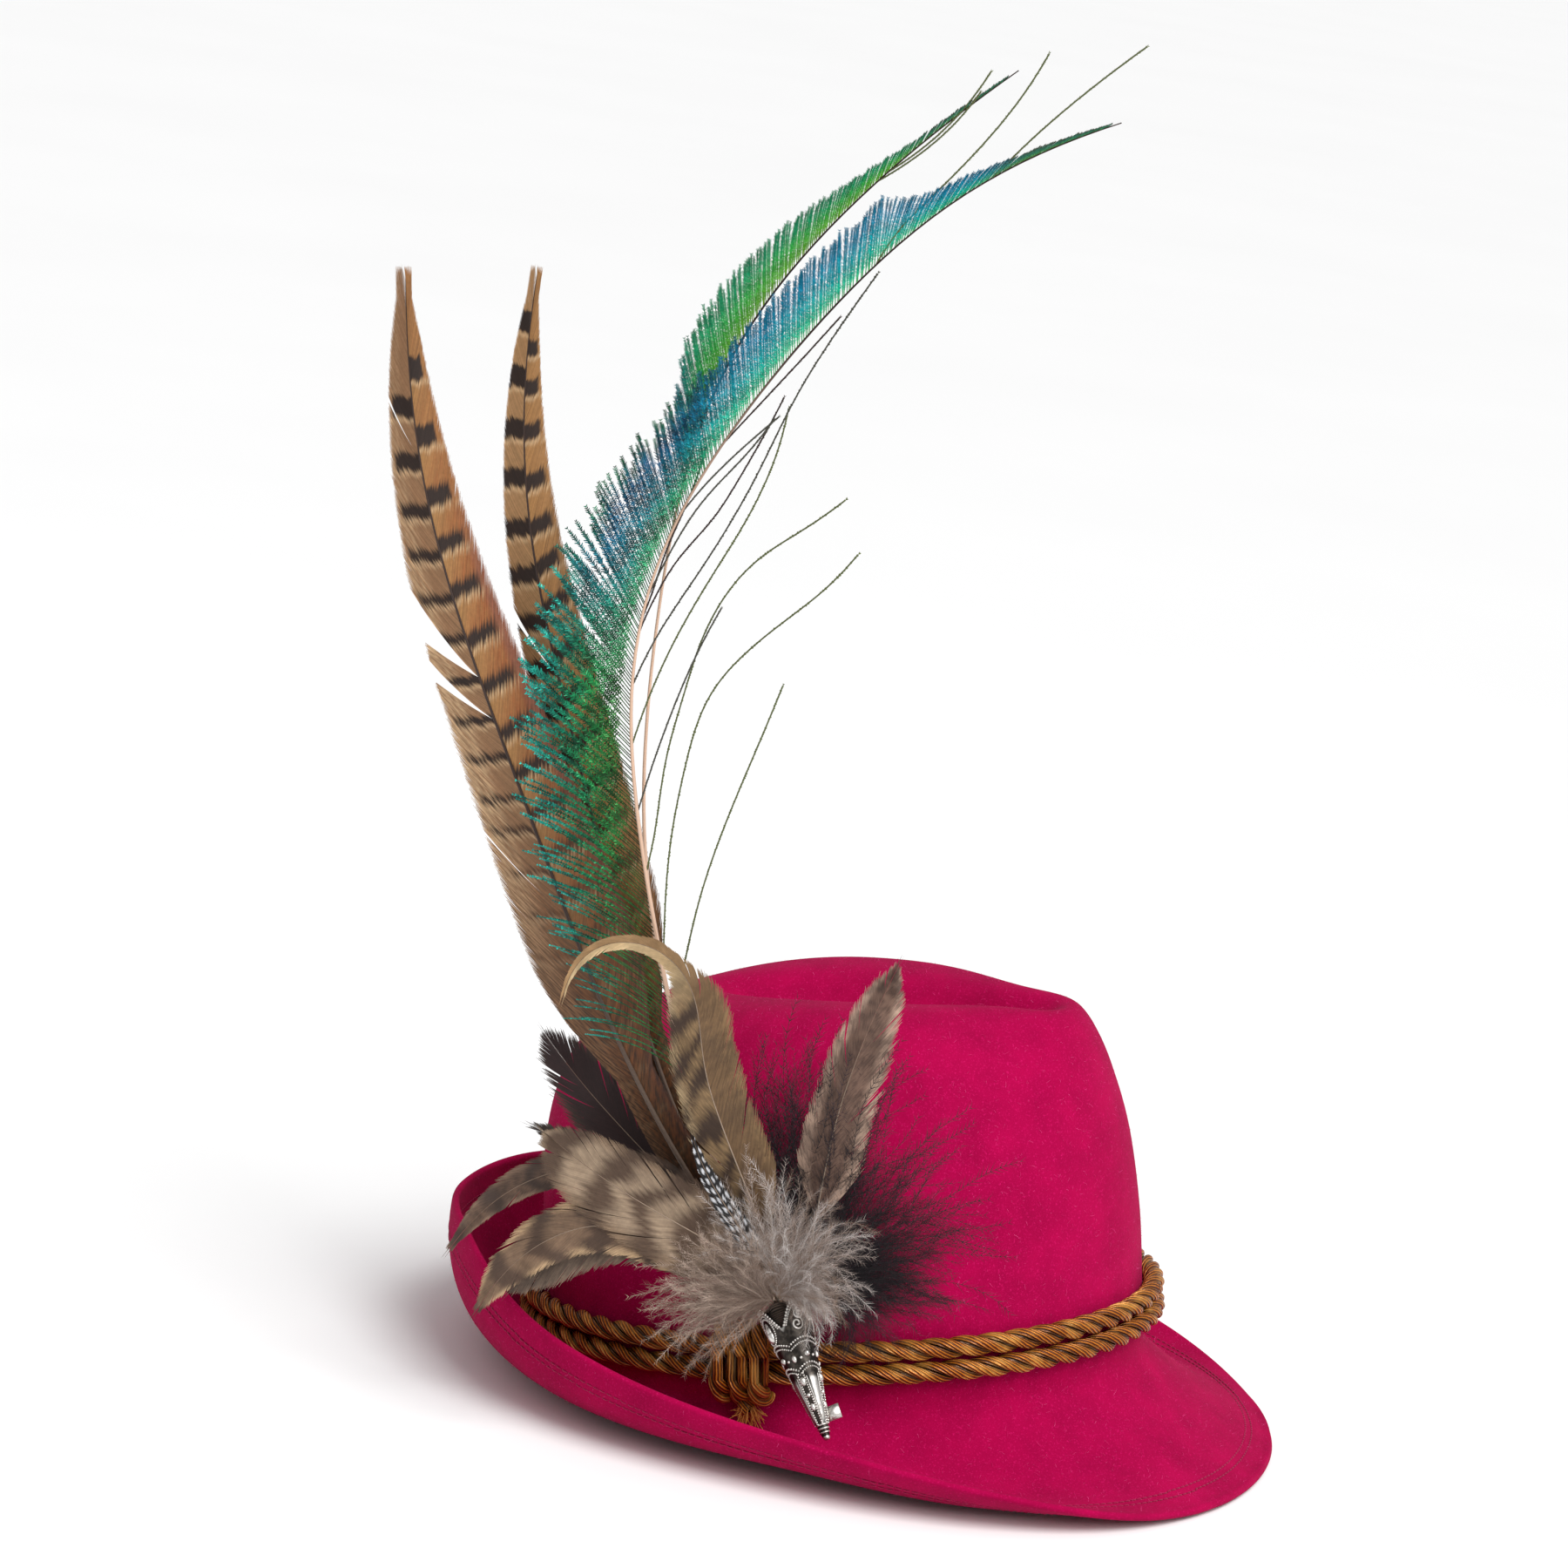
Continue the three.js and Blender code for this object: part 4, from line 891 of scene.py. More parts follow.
# A period of 0 has no bars; sharp and gap shape them, and pale_from is where the quill turns pale
SOFT_LOOKS = table(
    "name seed base edge dark edge_from mottle period slant sharp gap pale_from",
    ("hackle_dark_upper", 21, (52, 30, 30), (74, 56, 46), (26, 15, 16), 0.6, 0.3, 0, 0.6, 1.2, 0.0, 999),
    ("hackle_dark_lower", 22, (60, 48, 40), (84, 70, 58), (30, 22, 19), 0.6, 0.3, 0, 0.6, 1.2, 0.0, 999),
    ("hackle_twisted", 23, (120, 92, 78), (190, 160, 140), (70, 50, 42), 0.45, 0.7, 0, 0.6, 1.2, 0.0, 999),
    ("hackle_barred", 24, (178, 154, 128), (150, 124, 98), (92, 70, 54), 0.6, 0.3, 16, 0.45, 0.7, 0.0, 999),
    ("hackle_curled", 25, (128, 98, 66), (150, 118, 80), (66, 46, 33), 0.6, 0.5, 0, 0.6, 1.2, 0.0, 92),
    ("hackle_droop_upper", 26, (104, 80, 64), (140, 112, 92), (58, 43, 36), 0.6, 0.7, 13, 0.6, 0.6, 0.5, 999),
    ("hackle_droop_middle", 28, (104, 86, 72), (132, 110, 92), (60, 46, 38), 0.6, 0.6, 0, 0.6, 1.2, 0.0, 999),
    ("hackle_droop_lower", 27, (124, 98, 76), (196, 164, 126), (76, 56, 43), 0.6, 0.4, 15, 0.6, 1, 0.2, 999),
)
SPOTTED = {"dark": (26, 24, 26), "pale": (232, 232, 236)}
CURLED_LEFT = {
    "base": (156, 126, 88), "edge": (190, 164, 124), "mottle": 0.5, "period": 12, "slant": 0.9, "sharp": 0.9,
}
SPLITS = {
    ("pheasant_tail_left", -1): ((0.625, 7), (0.585, 2.5), (0.83, 2), (0.4, 1.5)),
    ("pheasant_tail_left", 1): ((0.72, 1), (0.45, 1.2)),
    ("pheasant_tail_right", -1): ((0.62, 4), (0.4, 1.5)),
    ("pheasant_tail_right", 1): ((0.5, 1.2),),
    ("hackle_dark_upper", -1): ((0.8, 3),),
    ("hackle_dark_upper", 1): ((0.85, 2),),
}
FLARES = {("pheasant_tail_left", -1): ((0.625, 0.05, 12), (0.585, 0.03, 6))}
OTHERWISE = {"hackle_barred": dict(ragged=0.02, wave=0.8), "hackle_twisted": dict(ragged=0.04, wave=3)}
VANES = {
    "pheasant": dict(spacing=0.42, turn=(38, 24), ragged=0.015, steps=14, cover=0.8, wave=0),
    "hackle": dict(spacing=0.36, turn=(42, 22), ragged=0.035, steps=10, cover=0.85, wave=1.6),
    "dark_feather": dict(spacing=0.36, turn=(42, 30), ragged=0.05, steps=8, cover=0.85, wave=0.6),
}


def feather_material(name, roughness, sheen):
    """Feather keratin: the barbs' own colour, with fine streaks and a satin gloss."""
    n = Nodes(name, Roughness=roughness, Specular_IOR_Level=0.35, Sheen_Weight=sheen)
    streak = n.noise(n.coordinates(), 900, 2, 0.6)
    n.feed("Base Color", n.blend(0.35, n.tint(), n.ramp(streak, (0.3, 0.55), (0.7, 1.0)), "MULTIPLY"))
    return n.material


def painted(look):
    """A look with its colours as light; they are its only tuples."""
    values = {key: srgb(*value) if isinstance(value, tuple) else value for key, value in look.items()}
    return SimpleNamespace(**values)


def vane_colour(quill, name, side):
    """The function that colours one vane of a feather."""
    if name == "guinea_feather":
        return spotted_colour(quill, painted(SPOTTED))
    for look in TAIL_LOOKS:
        if (look.name, look.side) == (name, side):
            return tail_colour(quill, painted({**TAIL_COLOURS, **vars(look)}))
    look = next(look for look in SOFT_LOOKS if look.name == name)
    more = CURLED_LEFT if (name, side) == ("hackle_curled", -1) else {}
    return soft_colour(quill, painted({**vars(look), **more}))


def feather(row, material):
    """A quill and its two vanes."""
    name, slot = row.name, row.slot
    quill = Quill(row)
    shape = Shape()
    t = np.linspace(0, 1, QUILL_STEPS)[:, None]
    if slot == "pheasant":
        start, torn = 0.05, 0
        add_quill(shape, quill, 1.1, 0.16, mix(srgb(118, 98, 84), srgb(58, 40, 32), smooth(t * 4 - 0.6)))
    else:
        start, torn = row.bare * 0.8, 6
        add_quill(shape, quill, 0.34, 0.05, mix(srgb(176, 156, 136), srgb(110, 86, 66), t))
    for side in (-1, 1):
        more = tuple(zip(DICE.uniform(0.25, 0.95, torn), DICE.uniform(0.3, 2.4, torn)))
        splits = SPLITS.get((name, side), ()) + more
        flares = FLARES.get((name, side), ())
        add_vane(shape, quill, side, vane_profile(row, side), vane_colour(quill, name, side), start,
                 row.cup, splits, flares, **{**VANES[slot], **OTHERWISE.get(name, {})})
    return shape.piece(name + "_vane", material, [] if name in ONLY_HERE else [name])


def add_herls(shape, lines, tint, reach, core=0.12, lag=0.7, wild=1.2, root=0.8, blunt=0.6):
    """Fine lines fringed with barbules on both sides, as the barbs of a peacock's sword and of down.

    root is the share of a line that the barbules' feet take, blunt the width of their ends.
    """
    count, points = lines.shape[:2]
    ahead = unit(np.gradient(lines, axis=1))
    foot = ahead * np.linalg.norm(lines[:, 1] - lines[:, 0], axis=-1)[:, None, None] * root
    flat = unit(np.cross(ahead, OUT))
    tint = np.broadcast_to(tint, lines.shape)
    add_ribbons(shape, lines[:, ::3], flat[:, ::3] * core, tint[:, ::3] * 0.6)
    reach = np.broadcast_to(reach, (count, points))[..., None]
    for side in (-1, 1):
        turn = DICE.uniform(-wild, wild, (count, points, 1))
        away = side * flat * np.cos(turn) + OUT * np.sin(turn)
        tip = lines + (away * DICE.uniform(0.6, 1.1, turn.shape) + ahead * lag) * reach
        corners = [lines, lines + foot, tip + foot * blunt, tip] if blunt else [lines, lines + foot, tip]
        faces = np.arange(count * points * len(corners)).reshape(-1, len(corners))
        tones = tint * DICE.uniform(0.7, 1.15, turn.shape)
        shape.add(np.stack(corners, 2), faces, np.repeat(tones[:, :, None], len(corners), 2))


SWORDS = table(
    "name length lean layer across barbs first last greener crowd",
    ("peacock_sword_long", 429, [-28, -13, -3, 31, 47, 72], 2, 0, 320, 0.17, 0.985, 0, 0.85),
    ("peacock_sword_short", 418, [-26, -17, 2, 14, 42, 55], 1, 0.88, 170, 0.62, 0.985, 1, 1),
)
# How the barbs of a sword change along its quill: their length, how far they turn off the quill
# where they start, and how much further out (below 0) or back to it they bend.
BARBS = {
    "peacock_sword_long": {
        "at": [0.17, 0.3, 0.4, 0.47, 0.54, 0.65, 0.8, 0.83, 0.9, 0.985],
        "long": [38, 47, 44, 39, 32, 23, 20, 13, 8, 3],
        "turn": [34, 38, 42, 42, 42, 42, 42, 32, 20, 12],
        "bend": [-34, -26, -14, -6, 0, 2, 4, 8, 6, 0],
    },
    "peacock_sword_short": {
        "at": [0.62, 0.66, 0.72, 0.79, 0.85, 0.9, 0.985],
        "long": [14, 24, 21, 15, 9, 5, 2],
        "turn": [34, 36, 38, 38, 34, 26, 14],
        "bend": [0, 4, 4, 8, 10, 6, 0],
    },
}
# Bare strands on the front of the swords: where each starts, its length, its leans and its tone
STRANDS = {
    "peacock_sword_long": [
        (0.215, 107, [11, 13, 20, 23, 22], "olive"),
        (0.25, 147, [1, 4, 11, 18, 44, 52, 40], "olive"),
        (0.32, 134, [14, 8, 16, 19, 36, 57, 52], "olive"),
        (0.363, 67, [17, 20, 24, 30], "grey"),
        (0.41, 112, [18, 24, 30, 32, 24, 12], "olive"),
        (0.452, 143, [24, 34, 31, 26, 33, 36], "grey"),
        (0.49, 83, [23, 30, 42, 32, 30, 27], "brown"),
        (0.5, 55, [24, 18, 24, 22, 14], "brown"),
        (0.515, 66, [26, 31, 44, 36], "grey"),
        (0.578, 42, [38, 46, 50], "grey"),
        (0.637, 51, [43, 43, 42], "brown"),
        (0.8, 79, [30, 45, 44, 38, 30], "olive"),
        (0.9, 58, [44, 50, 54], "olive"),
    ],
    "peacock_sword_short": [
        (0.87, 40, [60, 50, 36], "olive"),
        (0.88, 42, [58, 46, 33], "olive"),
    ],
}
STRAND_TONES = {"olive": (128, 138, 88), "grey": (104, 104, 92), "brown": (78, 60, 54)}
STRAND_STEPS = 150
HERL_STOPS = [0, 0.12, 0.4, 0.72, 1]
HERL_COLOURS = {
    "low": [(60, 80, 40), (50, 110, 44), (30, 140, 70), (10, 130, 100), (40, 180, 165)],
    "middle": [(40, 110, 60), (50, 170, 110), (10, 130, 140), (15, 95, 140), (40, 110, 70)],
    "high": [(120, 200, 120), (20, 200, 150), (0, 176, 182), (0, 142, 180), (0, 104, 136)],
    "end": [(130, 170, 90), (100, 160, 80), (60, 150, 110), (60, 120, 100), (80, 80, 60)],
    "green": [(150, 190, 50), (110, 196, 50), (60, 190, 70), (30, 170, 110), (30, 130, 90)],
}


def herl_colour(s, u, greener):
    """Colours along a peacock's barb, from the quill to its tip, and along the sword."""
    kinds = {name: rows_at(s, HERL_STOPS, [srgb(*one) for one in row]) for name, row in HERL_COLOURS.items()}
    tint = tinted(kinds["low"], kinds["middle"], smooth((u - 0.42) * 9))
    tint = tinted(tint, kinds["high"], smooth((u - 0.58) * 14))
    tint = tinted(tint, kinds["green"], greener * smooth((u - 0.62) * 20))
    tint = tinted(tint, kinds["end"], smooth((u - 0.87) * 20))
    patch = smooth(0.6 + 0.9 * wander(s * 14 + u * 90, 31) + 0.5 * DICE.normal(size=s.shape))
    patch = mix(patch, 1, smooth((u - 0.6) * 10) * 0.6)
    return tinted(tint * 0.3, tint, patch)


def sword(row, material):
    """A peacock's sword: a quill with fringed barbs on its back and bare strands in front."""
    quill = Quill(row)
    shape = Shape()
    t = np.linspace(0, 1, QUILL_STEPS)[:, None]
    add_quill(shape, quill, 0.95, 0.2, mix(srgb(214, 180, 156), srgb(50, 36, 32), smooth(t * 4 - 2)))
    count, points = row.barbs, 56
    share = (np.arange(count) + DICE.uniform(-0.3, 0.3, count)) / count
    u0 = mix(row.first, row.last, share ** row.crowd)
    barbs = BARBS[row.name]
    length, turn, bend = (np.interp(u0, barbs["at"], barbs[key]) for key in ("long", "turn", "bend"))
    loose = np.interp(u0, [0.4, 0.7], [1.0, 0.5])
    length = length * (1 - 0.22 * loose * DICE.random(count))
    clump = loose * 6 * wander(share * 160, 32) + DICE.normal(size=count) * 1.5 * loose
    s = np.linspace(0, 1, points)[None]
    place, lean = quill.at(u0)
    angle = lean[:, None] - np.radians(turn[:, None] - (bend + clump * 1.6)[:, None] * s)
    step = (length / (points - 1))[:, None, None]
    lines = place[:, None] + np.cumsum(leaning(angle) * step, 1)
    lines = lines + OUT * (DICE.normal(size=(count, 1)) * 1.2 * loose[:, None] * s)[..., None]
    tint = herl_colour(np.broadcast_to(s, (count, points)), u0[:, None] + 0 * s, row.greener)
    bare = np.interp(u0, [0.22, 0.34, 0.55], [0.5, 0.1, 0.03])[:, None]
    full = np.interp(u0, [0.2, 0.3, 0.42, 0.6, 0.86, 0.9], [0.15, 0.45, 1.0, 0.85, 0.5, 0.2])[:, None]
    fringe = 0.16 + full * smooth((s - bare) * 9) * (1 - 0.4 * s ** 6)
    fringe = fringe * np.where(DICE.random(fringe.shape) < 0.12 * loose[:, None], 0.3, 1)
    add_herls(shape, lines, tint, fringe, core=0.16, wild=0.7)
    t = np.linspace(0, 1, STRAND_STEPS)
    for start, long, leans, tone in STRANDS[row.name]:
        place, _ = quill.at(np.array(start))
        way = leaning(np.radians(along(leans, t * (len(leans) - 1)))) * long / (STRAND_STEPS - 1)
        line = (place + np.cumsum(way, 0))[None]
        tint = srgb(*STRAND_TONES[tone])
        add_tubes(shape, line, 0.24, 4, tint * 0.5, start=OUT)
        add_herls(shape, line, tint * 0.8, 0.42, lag=1.2, wild=1.0)
    return shape.piece(row.name + "_herl", material, [row.name])


CLUMPS = 26
# Leans run from first to last; reaches is the hairs' length at 0, 60, 100 and 140 degrees from the
# first, as a share, and barb the length of their own fringe
TUFTS = table(
    "name slot first last length layer across out hairs barb reaches low high",
    ("down_brown", "down", -126, -20, 40, 8.72, -0.64, 8, 460, 2.2, [1, 1, 0.8, 0.8],
     (104, 80, 66), (224, 200, 182)),
    ("down_grey", "down", -34, 100, 44, 8.32, 2.56, 7, 420, 2.4, [1.05, 0.9, 0.62, 0.45],
     (142, 116, 98), (255, 248, 244)),
    ("marabou_black", "dark_feather", -24, 98, 82, -3.12, 2.4, -3, 700, 3.2, [1.1, 1.0, 0.6, 0.38],
     (14, 10, 14), (48, 28, 40)),
)


def tuft(row, material):
    """Down: hairs that fan out from one root, each fringed with finer ones."""
    row = painted(vars(row))
    root = plume_root(row.layer, row.across) + UP * 1.2
    count, points = row.hairs, 50
    s = np.linspace(0, 1, points)[None]
    clump = DICE.integers(CLUMPS, size=count)
    spread = (np.arange(CLUMPS) + DICE.random(CLUMPS)) / CLUMPS
    lean = mix(row.first, row.last, spread)[clump] + DICE.normal(size=count) * 11
    long = row.length * DICE.uniform(0.6, 1, CLUMPS)[clump] * DICE.uniform(0.35, 1.1, count)
    long = long * np.interp(lean, row.first + np.array([0, 60, 100, 140]), row.reaches)
    lean = np.radians(lean)
    curls = DICE.normal(size=CLUMPS)[clump, None] * 0.8
    bend = lean[:, None] + (curls + DICE.normal(size=(count, 1)) * 0.3 + 0.2) * s
    bend = bend + 0.25 * np.sin(s * DICE.uniform(4, 9, (count, 1)) + DICE.uniform(0, 6, (count, 1)))
    lines = root + np.cumsum(leaning(bend) * (long / points)[:, None, None], 1)
    puff = row.out * DICE.uniform(0.1, 1.1, (count, 1)) * s ** 1.3
    lines = lines + OUT * puff[..., None] + DICE.normal(size=(count, 1, 3)) * 0.8
    tone = tinted(row.low, row.high, (s * 0.6 + 0.4) * DICE.random((count, 1)) ** 1.4)
    shape = Shape()
    fringe = row.barb * np.interp(s, [0, 0.15, 0.8, 1], [0.2, 0.8, 1, 0.6]) + 0 * bend
    add_herls(shape, lines, tone, fringe, 0.06, 1.1, 1.5, 0.2, 0)
    return shape.piece(row.name + "_hairs", material, [row.name])


# Pin and binding

def on_pin(points):
    """Points of the cone's own frame, on the hat as worn."""
    tip, axis, inward, backward = pin_frame()
    return tip + np.asarray(points) @ np.stack([inward, backward, axis])


def polar(radius, turn, height):
    """Points at a radius and a turn round the cone's axis, at a height along it."""
    return np.stack(np.broadcast_arrays(radius * np.cos(turn), radius * np.sin(turn), height), -1)


def cone_radius(height):
    """Outer radius of the cone at a height over its tip."""
    share = np.minimum(height / MOUTH_HEIGHT, 1)
    flare = np.maximum(0, (height - MOUTH_HEIGHT) / PIN_PETAL)
    bulge = 0.86 * share + 0.14 * np.sin(share * np.pi / 2)
    return PIN_TIP + (PIN_MOUTH - PIN_TIP) * bulge + PIN_FLARE * flare


def cone_edge(turn):
    """Height of the cone's rim, which runs up into its petals."""
    petal = np.abs(np.cos(turn * PIN_PETALS / 2)) ** 1.4
    return MOUTH_HEIGHT + PIN_PETAL * (0.15 + 0.85 * petal)


def cone_point(turn, height, lift=0.0):
    """A point over the cone's surface at a turn round its axis, in its own frame."""
    return polar(cone_radius(height) + lift, turn, height)


SILVER_DARK = np.array([0.035, 0.03, 0.027])
SILVER_LIGHT = np.array([0.78, 0.75, 0.71])


def add_ball(shape, places, size, stretch=1.0, rings=5, sides=7):
    """Small balls over the cone, stretched along it."""
    places = np.atleast_2d(places)
    v, w = np.linspace(0, np.pi, rings)[:, None], circle(sides)
    ball = [np.sin(v) * np.cos(w), np.sin(v) * np.sin(w), stretch * np.cos(v) + 0 * w]
    ball = np.stack(ball, -1).reshape(-1, 3)
    sizes = np.broadcast_to(size, len(places))[:, None, None]
    faces = many(grid_faces(rings, sides, True)[:, ::-1], len(places), rings * sides)
    shape.add(on_pin(places[:, None] + ball * sizes), faces, SILVER_LIGHT)


def even_places(turns, heights, spacing):
    """Places at even spacing along a line over the cone, given by turns in degrees and heights."""
    line = cone_point(np.radians(turns), heights, 0.1)
    run = lengths(line)
    return rows_at(np.linspace(0, run[-1], max(2, int(run[-1] / spacing))), run, line)


def add_beads(shape, turns, heights, size):
    """A line of touching beads over the cone."""
    add_ball(shape, even_places(turns, heights, size * 2.6), size * 1.3)


def add_wire(shape, turns, heights, size):
    """A raised line over the cone."""
    line = on_pin(cone_point(np.radians(turns), heights, 0.05))[None]
    add_tubes(shape, line, size, 6, SILVER_LIGHT, start=OUT)


def add_petal(shape, middle, scrolls):
    """The relief on one petal: a rim of beads round a drop, or round a pair of scrolls."""
    t = np.linspace(0, 1, 60)
    for inset, size in ((0.45, 0.34), (1.7, 0.24)):
        turns = middle + mix(-40, 40, t) * (1 - 0.1 * inset)
        heights = cone_edge(np.radians(turns) - PETAL_TURN) - inset
        add_beads(shape, turns, heights, size)
    for aside, up in ((0, 0.3), (-7, -0.7), (7, -0.7)):
        add_ball(shape, cone_point(np.radians(middle + aside), PIN_LENGTH + up, 0.2), 0.75)
    if scrolls:
        for side, low, size in ((-1, 1.2, 17), (1, 4.0, 13)):
            coil = 2 * np.pi * (1.6 * t + 0.25)
            reach = size * (1 - 0.85 * t)
            turns = middle + side * (5 + reach * np.cos(coil))
            add_wire(shape, turns, MOUTH_HEIGHT + low + 0.13 * reach * np.sin(coil), 0.32)
    else:
        for high, size, stretch in ((0.2, 1.5, 1.5), (1.9, 1.2, 1.7), (3.4, 0.75, 1.8)):
            add_ball(shape, cone_point(np.radians(middle), MOUTH_HEIGHT + high, -0.25), size, stretch, 9, 12)
        turns = middle + 22 * np.sin(t * 2 * np.pi)
        add_beads(shape, turns, MOUTH_HEIGHT + 1.6 - 4.2 * np.cos(t * 2 * np.pi), 0.26)


# The bosses below a petal: degrees to its side, share of the cone's height, radius and stretch
BOSSES = [
    (0, 0.76, 0.95, 1.1), (45, 0.74, 0.8, 1.5), (-22, 0.735, 0.5, 1), (22, 0.735, 0.5, 1),
    (45, 0.53, 1.0, 1.5), (45, 0.4, 0.7, 1.1), (45, 0.29, 0.75, 1.7),
]


def add_panels(shape, middle):
    """The relief below one petal: scalloped rows of beads, bosses and lines that run to the tip."""
    t = np.linspace(0, 1, 50)
    arc = np.abs(np.sin(t * np.pi))
    for level, size in ((0.86, 0.3), (0.82, 0.24), (0.63, 0.3), (0.59, 0.24)):
        add_beads(shape, middle + mix(-45, 45, t), MOUTH_HEIGHT * (level + 0.05 * arc), size)
    for aside, level, size, stretch in BOSSES:
        place = cone_point(np.radians(middle + aside), MOUTH_HEIGHT * level, -0.1)
        add_ball(shape, place, size, stretch, 8, 10)
    for side in (-1, 1):
        turns = middle + side * mix(34, 24, t)
        add_beads(shape, turns, MOUTH_HEIGHT * mix(0.6, 0.13, t), 0.27)
        add_wire(shape, turns - side * 9, MOUTH_HEIGHT * mix(0.57, 0.13, t), 0.16)


def pin(material):
    """The hollow cone of cast silver, with its relief, the clasp plate and the post to the ropes."""
    shape = Shape()
    columns, rows = 144, 70
    turn = circle(columns)
    share = np.linspace(0.015, 1, rows)[:, None]
    edge = cone_edge(turn - PETAL_TURN)
    height = share * edge
    band = height / MOUTH_HEIGHT
    petal = np.cos((turn - PETAL_TURN) * PIN_PETALS)
    panel = smooth((0.58 - band) * 14) * smooth(petal * 2.2 - 0.2) * smooth(band * 9 - 0.8)
    rise = 0.32 * panel + 0.3 * np.exp(-(((height - edge + 0.5) / 0.6) ** 2))
    outside = cone_point(turn[None], height, rise)
    inside = cone_point(turn[None], np.maximum(height, 4), -PIN_WALL)[::-1]
    skin = np.concatenate([outside, inside])
    tone = tinted(SILVER_DARK, SILVER_LIGHT * 0.6, smooth(rise * 3))
    tones = np.concatenate([tone, np.broadcast_to(SILVER_DARK, inside.shape)])
    shape.add(on_pin(skin), grid_faces(len(skin), columns, True), tones)
    for k in range(PIN_PETALS):
        middle = math.degrees(PETAL_TURN) + k * 360 / PIN_PETALS
        add_petal(shape, middle, k % 2 == 0)
        add_panels(shape, middle)
    for level, size in ((0.05, 0.3), (0.085, 0.36), (0.12, 0.3)):
        t = np.linspace(0, 360, 40)
        add_wire(shape, t, MOUTH_HEIGHT * level + 0 * t, size)
    add_ball(shape, [0, 0, 0.3], 1.15, 1.0, 9, 12)
    high = MOUTH_HEIGHT * 0.2
    edge = cone_radius(high)
    corners = np.array([[x, y, z] for x in (edge - CLASP_THICK, edge) for y in (-CLASP_REACH, 0)
                        for z in (high - CLASP_WIDTH / 2, high + CLASP_WIDTH / 2)])
    box = [[0, 1, 3, 2], [4, 6, 7, 5], [0, 4, 5, 1], [2, 3, 7, 6], [0, 2, 6, 4], [1, 5, 7, 3]]
    shape.add(on_pin(corners), box, SILVER_LIGHT)
    ends = on_pin([[POST_FROM + reach, 0, MOUTH_HEIGHT * POST_AT] for reach in (0, POST_LENGTH)])
    add_tubes(shape, mix(ends[0], ends[1], np.linspace(0, 1, 5)[:, None])[None], POST, 12, SILVER_LIGHT)
    return shape.piece("pin_holder_cast", material, ["pin_holder"])


def silver_material():
    """Antique silver: bright where it stands out, tarnished in the recesses."""
    n = Nodes("antique_silver", Metallic=1.0, Roughness=0.34)
    where = n.coordinates()
    tarnish = n.noise(where, 700, 4, 0.65)
    n.feed("Base Color", n.blend(n.ramp(tarnish, (0.45, 0.0), (0.75, 0.7)), n.tint(), (0.14, 0.12, 0.1)))
    n.feed("Roughness", n.ramp(tarnish, (0.3, 0.26), (0.8, 0.5)))
    n.bump((n.noise(where, 1500, 3), 0.2, 0.0001))
    return n.material


def binding(material):
    """Thread wound round the quill ends in the cone's mouth."""
    shape = Shape()
    low, top = MOUTH_HEIGHT * 0.62, PIN_LENGTH + GAP

    def inside(heights, thread):
        return cone_radius(np.minimum(heights, MOUTH_HEIGHT)) - PIN_WALL - GAP - thread

    t = np.linspace(0, 1, 1300)
    high = mix(low, top, t)
    turn = 2 * np.pi * THREAD_TURNS * t
    between = np.exp(-((np.degrees(np.arccos(-np.cos(turn))) / 18) ** 4))
    lip = LIP_REACH * between * smooth((high - top + LIP_DEPTH) / LIP_DEPTH * 2)
    add_tubes(shape, on_pin(polar(inside(high, 0.25) + lip, turn, high))[None], 0.27, 5, srgb(70, 54, 44))
    rows = np.linspace(low, top, 12)[:, None]
    wall = polar(inside(rows, 0.4), circle(CORE_SIDES), rows)
    ends = [np.broadcast_to([0, 0, height], (1, CORE_SIDES, 3)) for height in (low, top)]
    core = np.concatenate([ends[0], wall, ends[1]])
    shape.add(on_pin(core), grid_faces(len(core), CORE_SIDES, True), srgb(46, 36, 30))
    return shape.piece("quill_binding_thread", material, ["quill_binding"])


def fibre_material(name, roughness, sheen, metallic=0.0):
    """Fine fibres in their own colour."""
    n = Nodes(name, Roughness=roughness, Specular_IOR_Level=0.3, Sheen_Weight=sheen, Metallic=metallic)
    n.feed("Base Color", n.tint())
    return n.material


# Stage, lights and camera

FLOOR = 45  # metres from the middle to an edge
FLOOR_DROP = 0.0004
SKY = 0.52  # strength of the world's light


def set_stage():
    """A plain pale floor and a plain pale world."""
    world = bpy.data.worlds.new("studio")
    bpy.context.scene.world = world
    world.use_nodes = True
    bpy.context.scene.view_settings.view_transform = "Standard"
    sky = world.node_tree.nodes["Background"]
    sky.inputs["Color"].default_value = (1, 1, 1, 1)
    sky.inputs["Strength"].default_value = SKY
    mesh = bpy.data.meshes.new("floor")
    corners = [(FLOOR * x, FLOOR * y, 0) for x, y in ((-1, -1), (1, -1), (1, 1), (-1, 1))]
    mesh.from_pydata(corners, [], [(0, 1, 2, 3)])
    floor = add_object("floor", mesh)
    floor.location.z = -FLOOR_DROP
    n = Nodes("pale_floor", Roughness=0.8)
    cloud = n.noise(n.coordinates(), 3, 3)
    n.feed("Base Color", n.ramp(cloud, (0.3, (0.885, 0.885, 0.885)), (0.7, (0.9, 0.9, 0.9))))
    floor.data.materials.append(n.material)


def add_light(name, kind, place, target, power, **settings):
    """A light at a place, faced to a target."""
    lamp = bpy.data.lights.new(name, kind)
    lamp.energy = power
    for key, value in settings.items():
        setattr(lamp, key, value)
    made = add_object(name, lamp)
    made.location = place
    made.rotation_euler = (Vector(target) - Vector(place)).to_track_quat("-Z", "Y").to_euler()


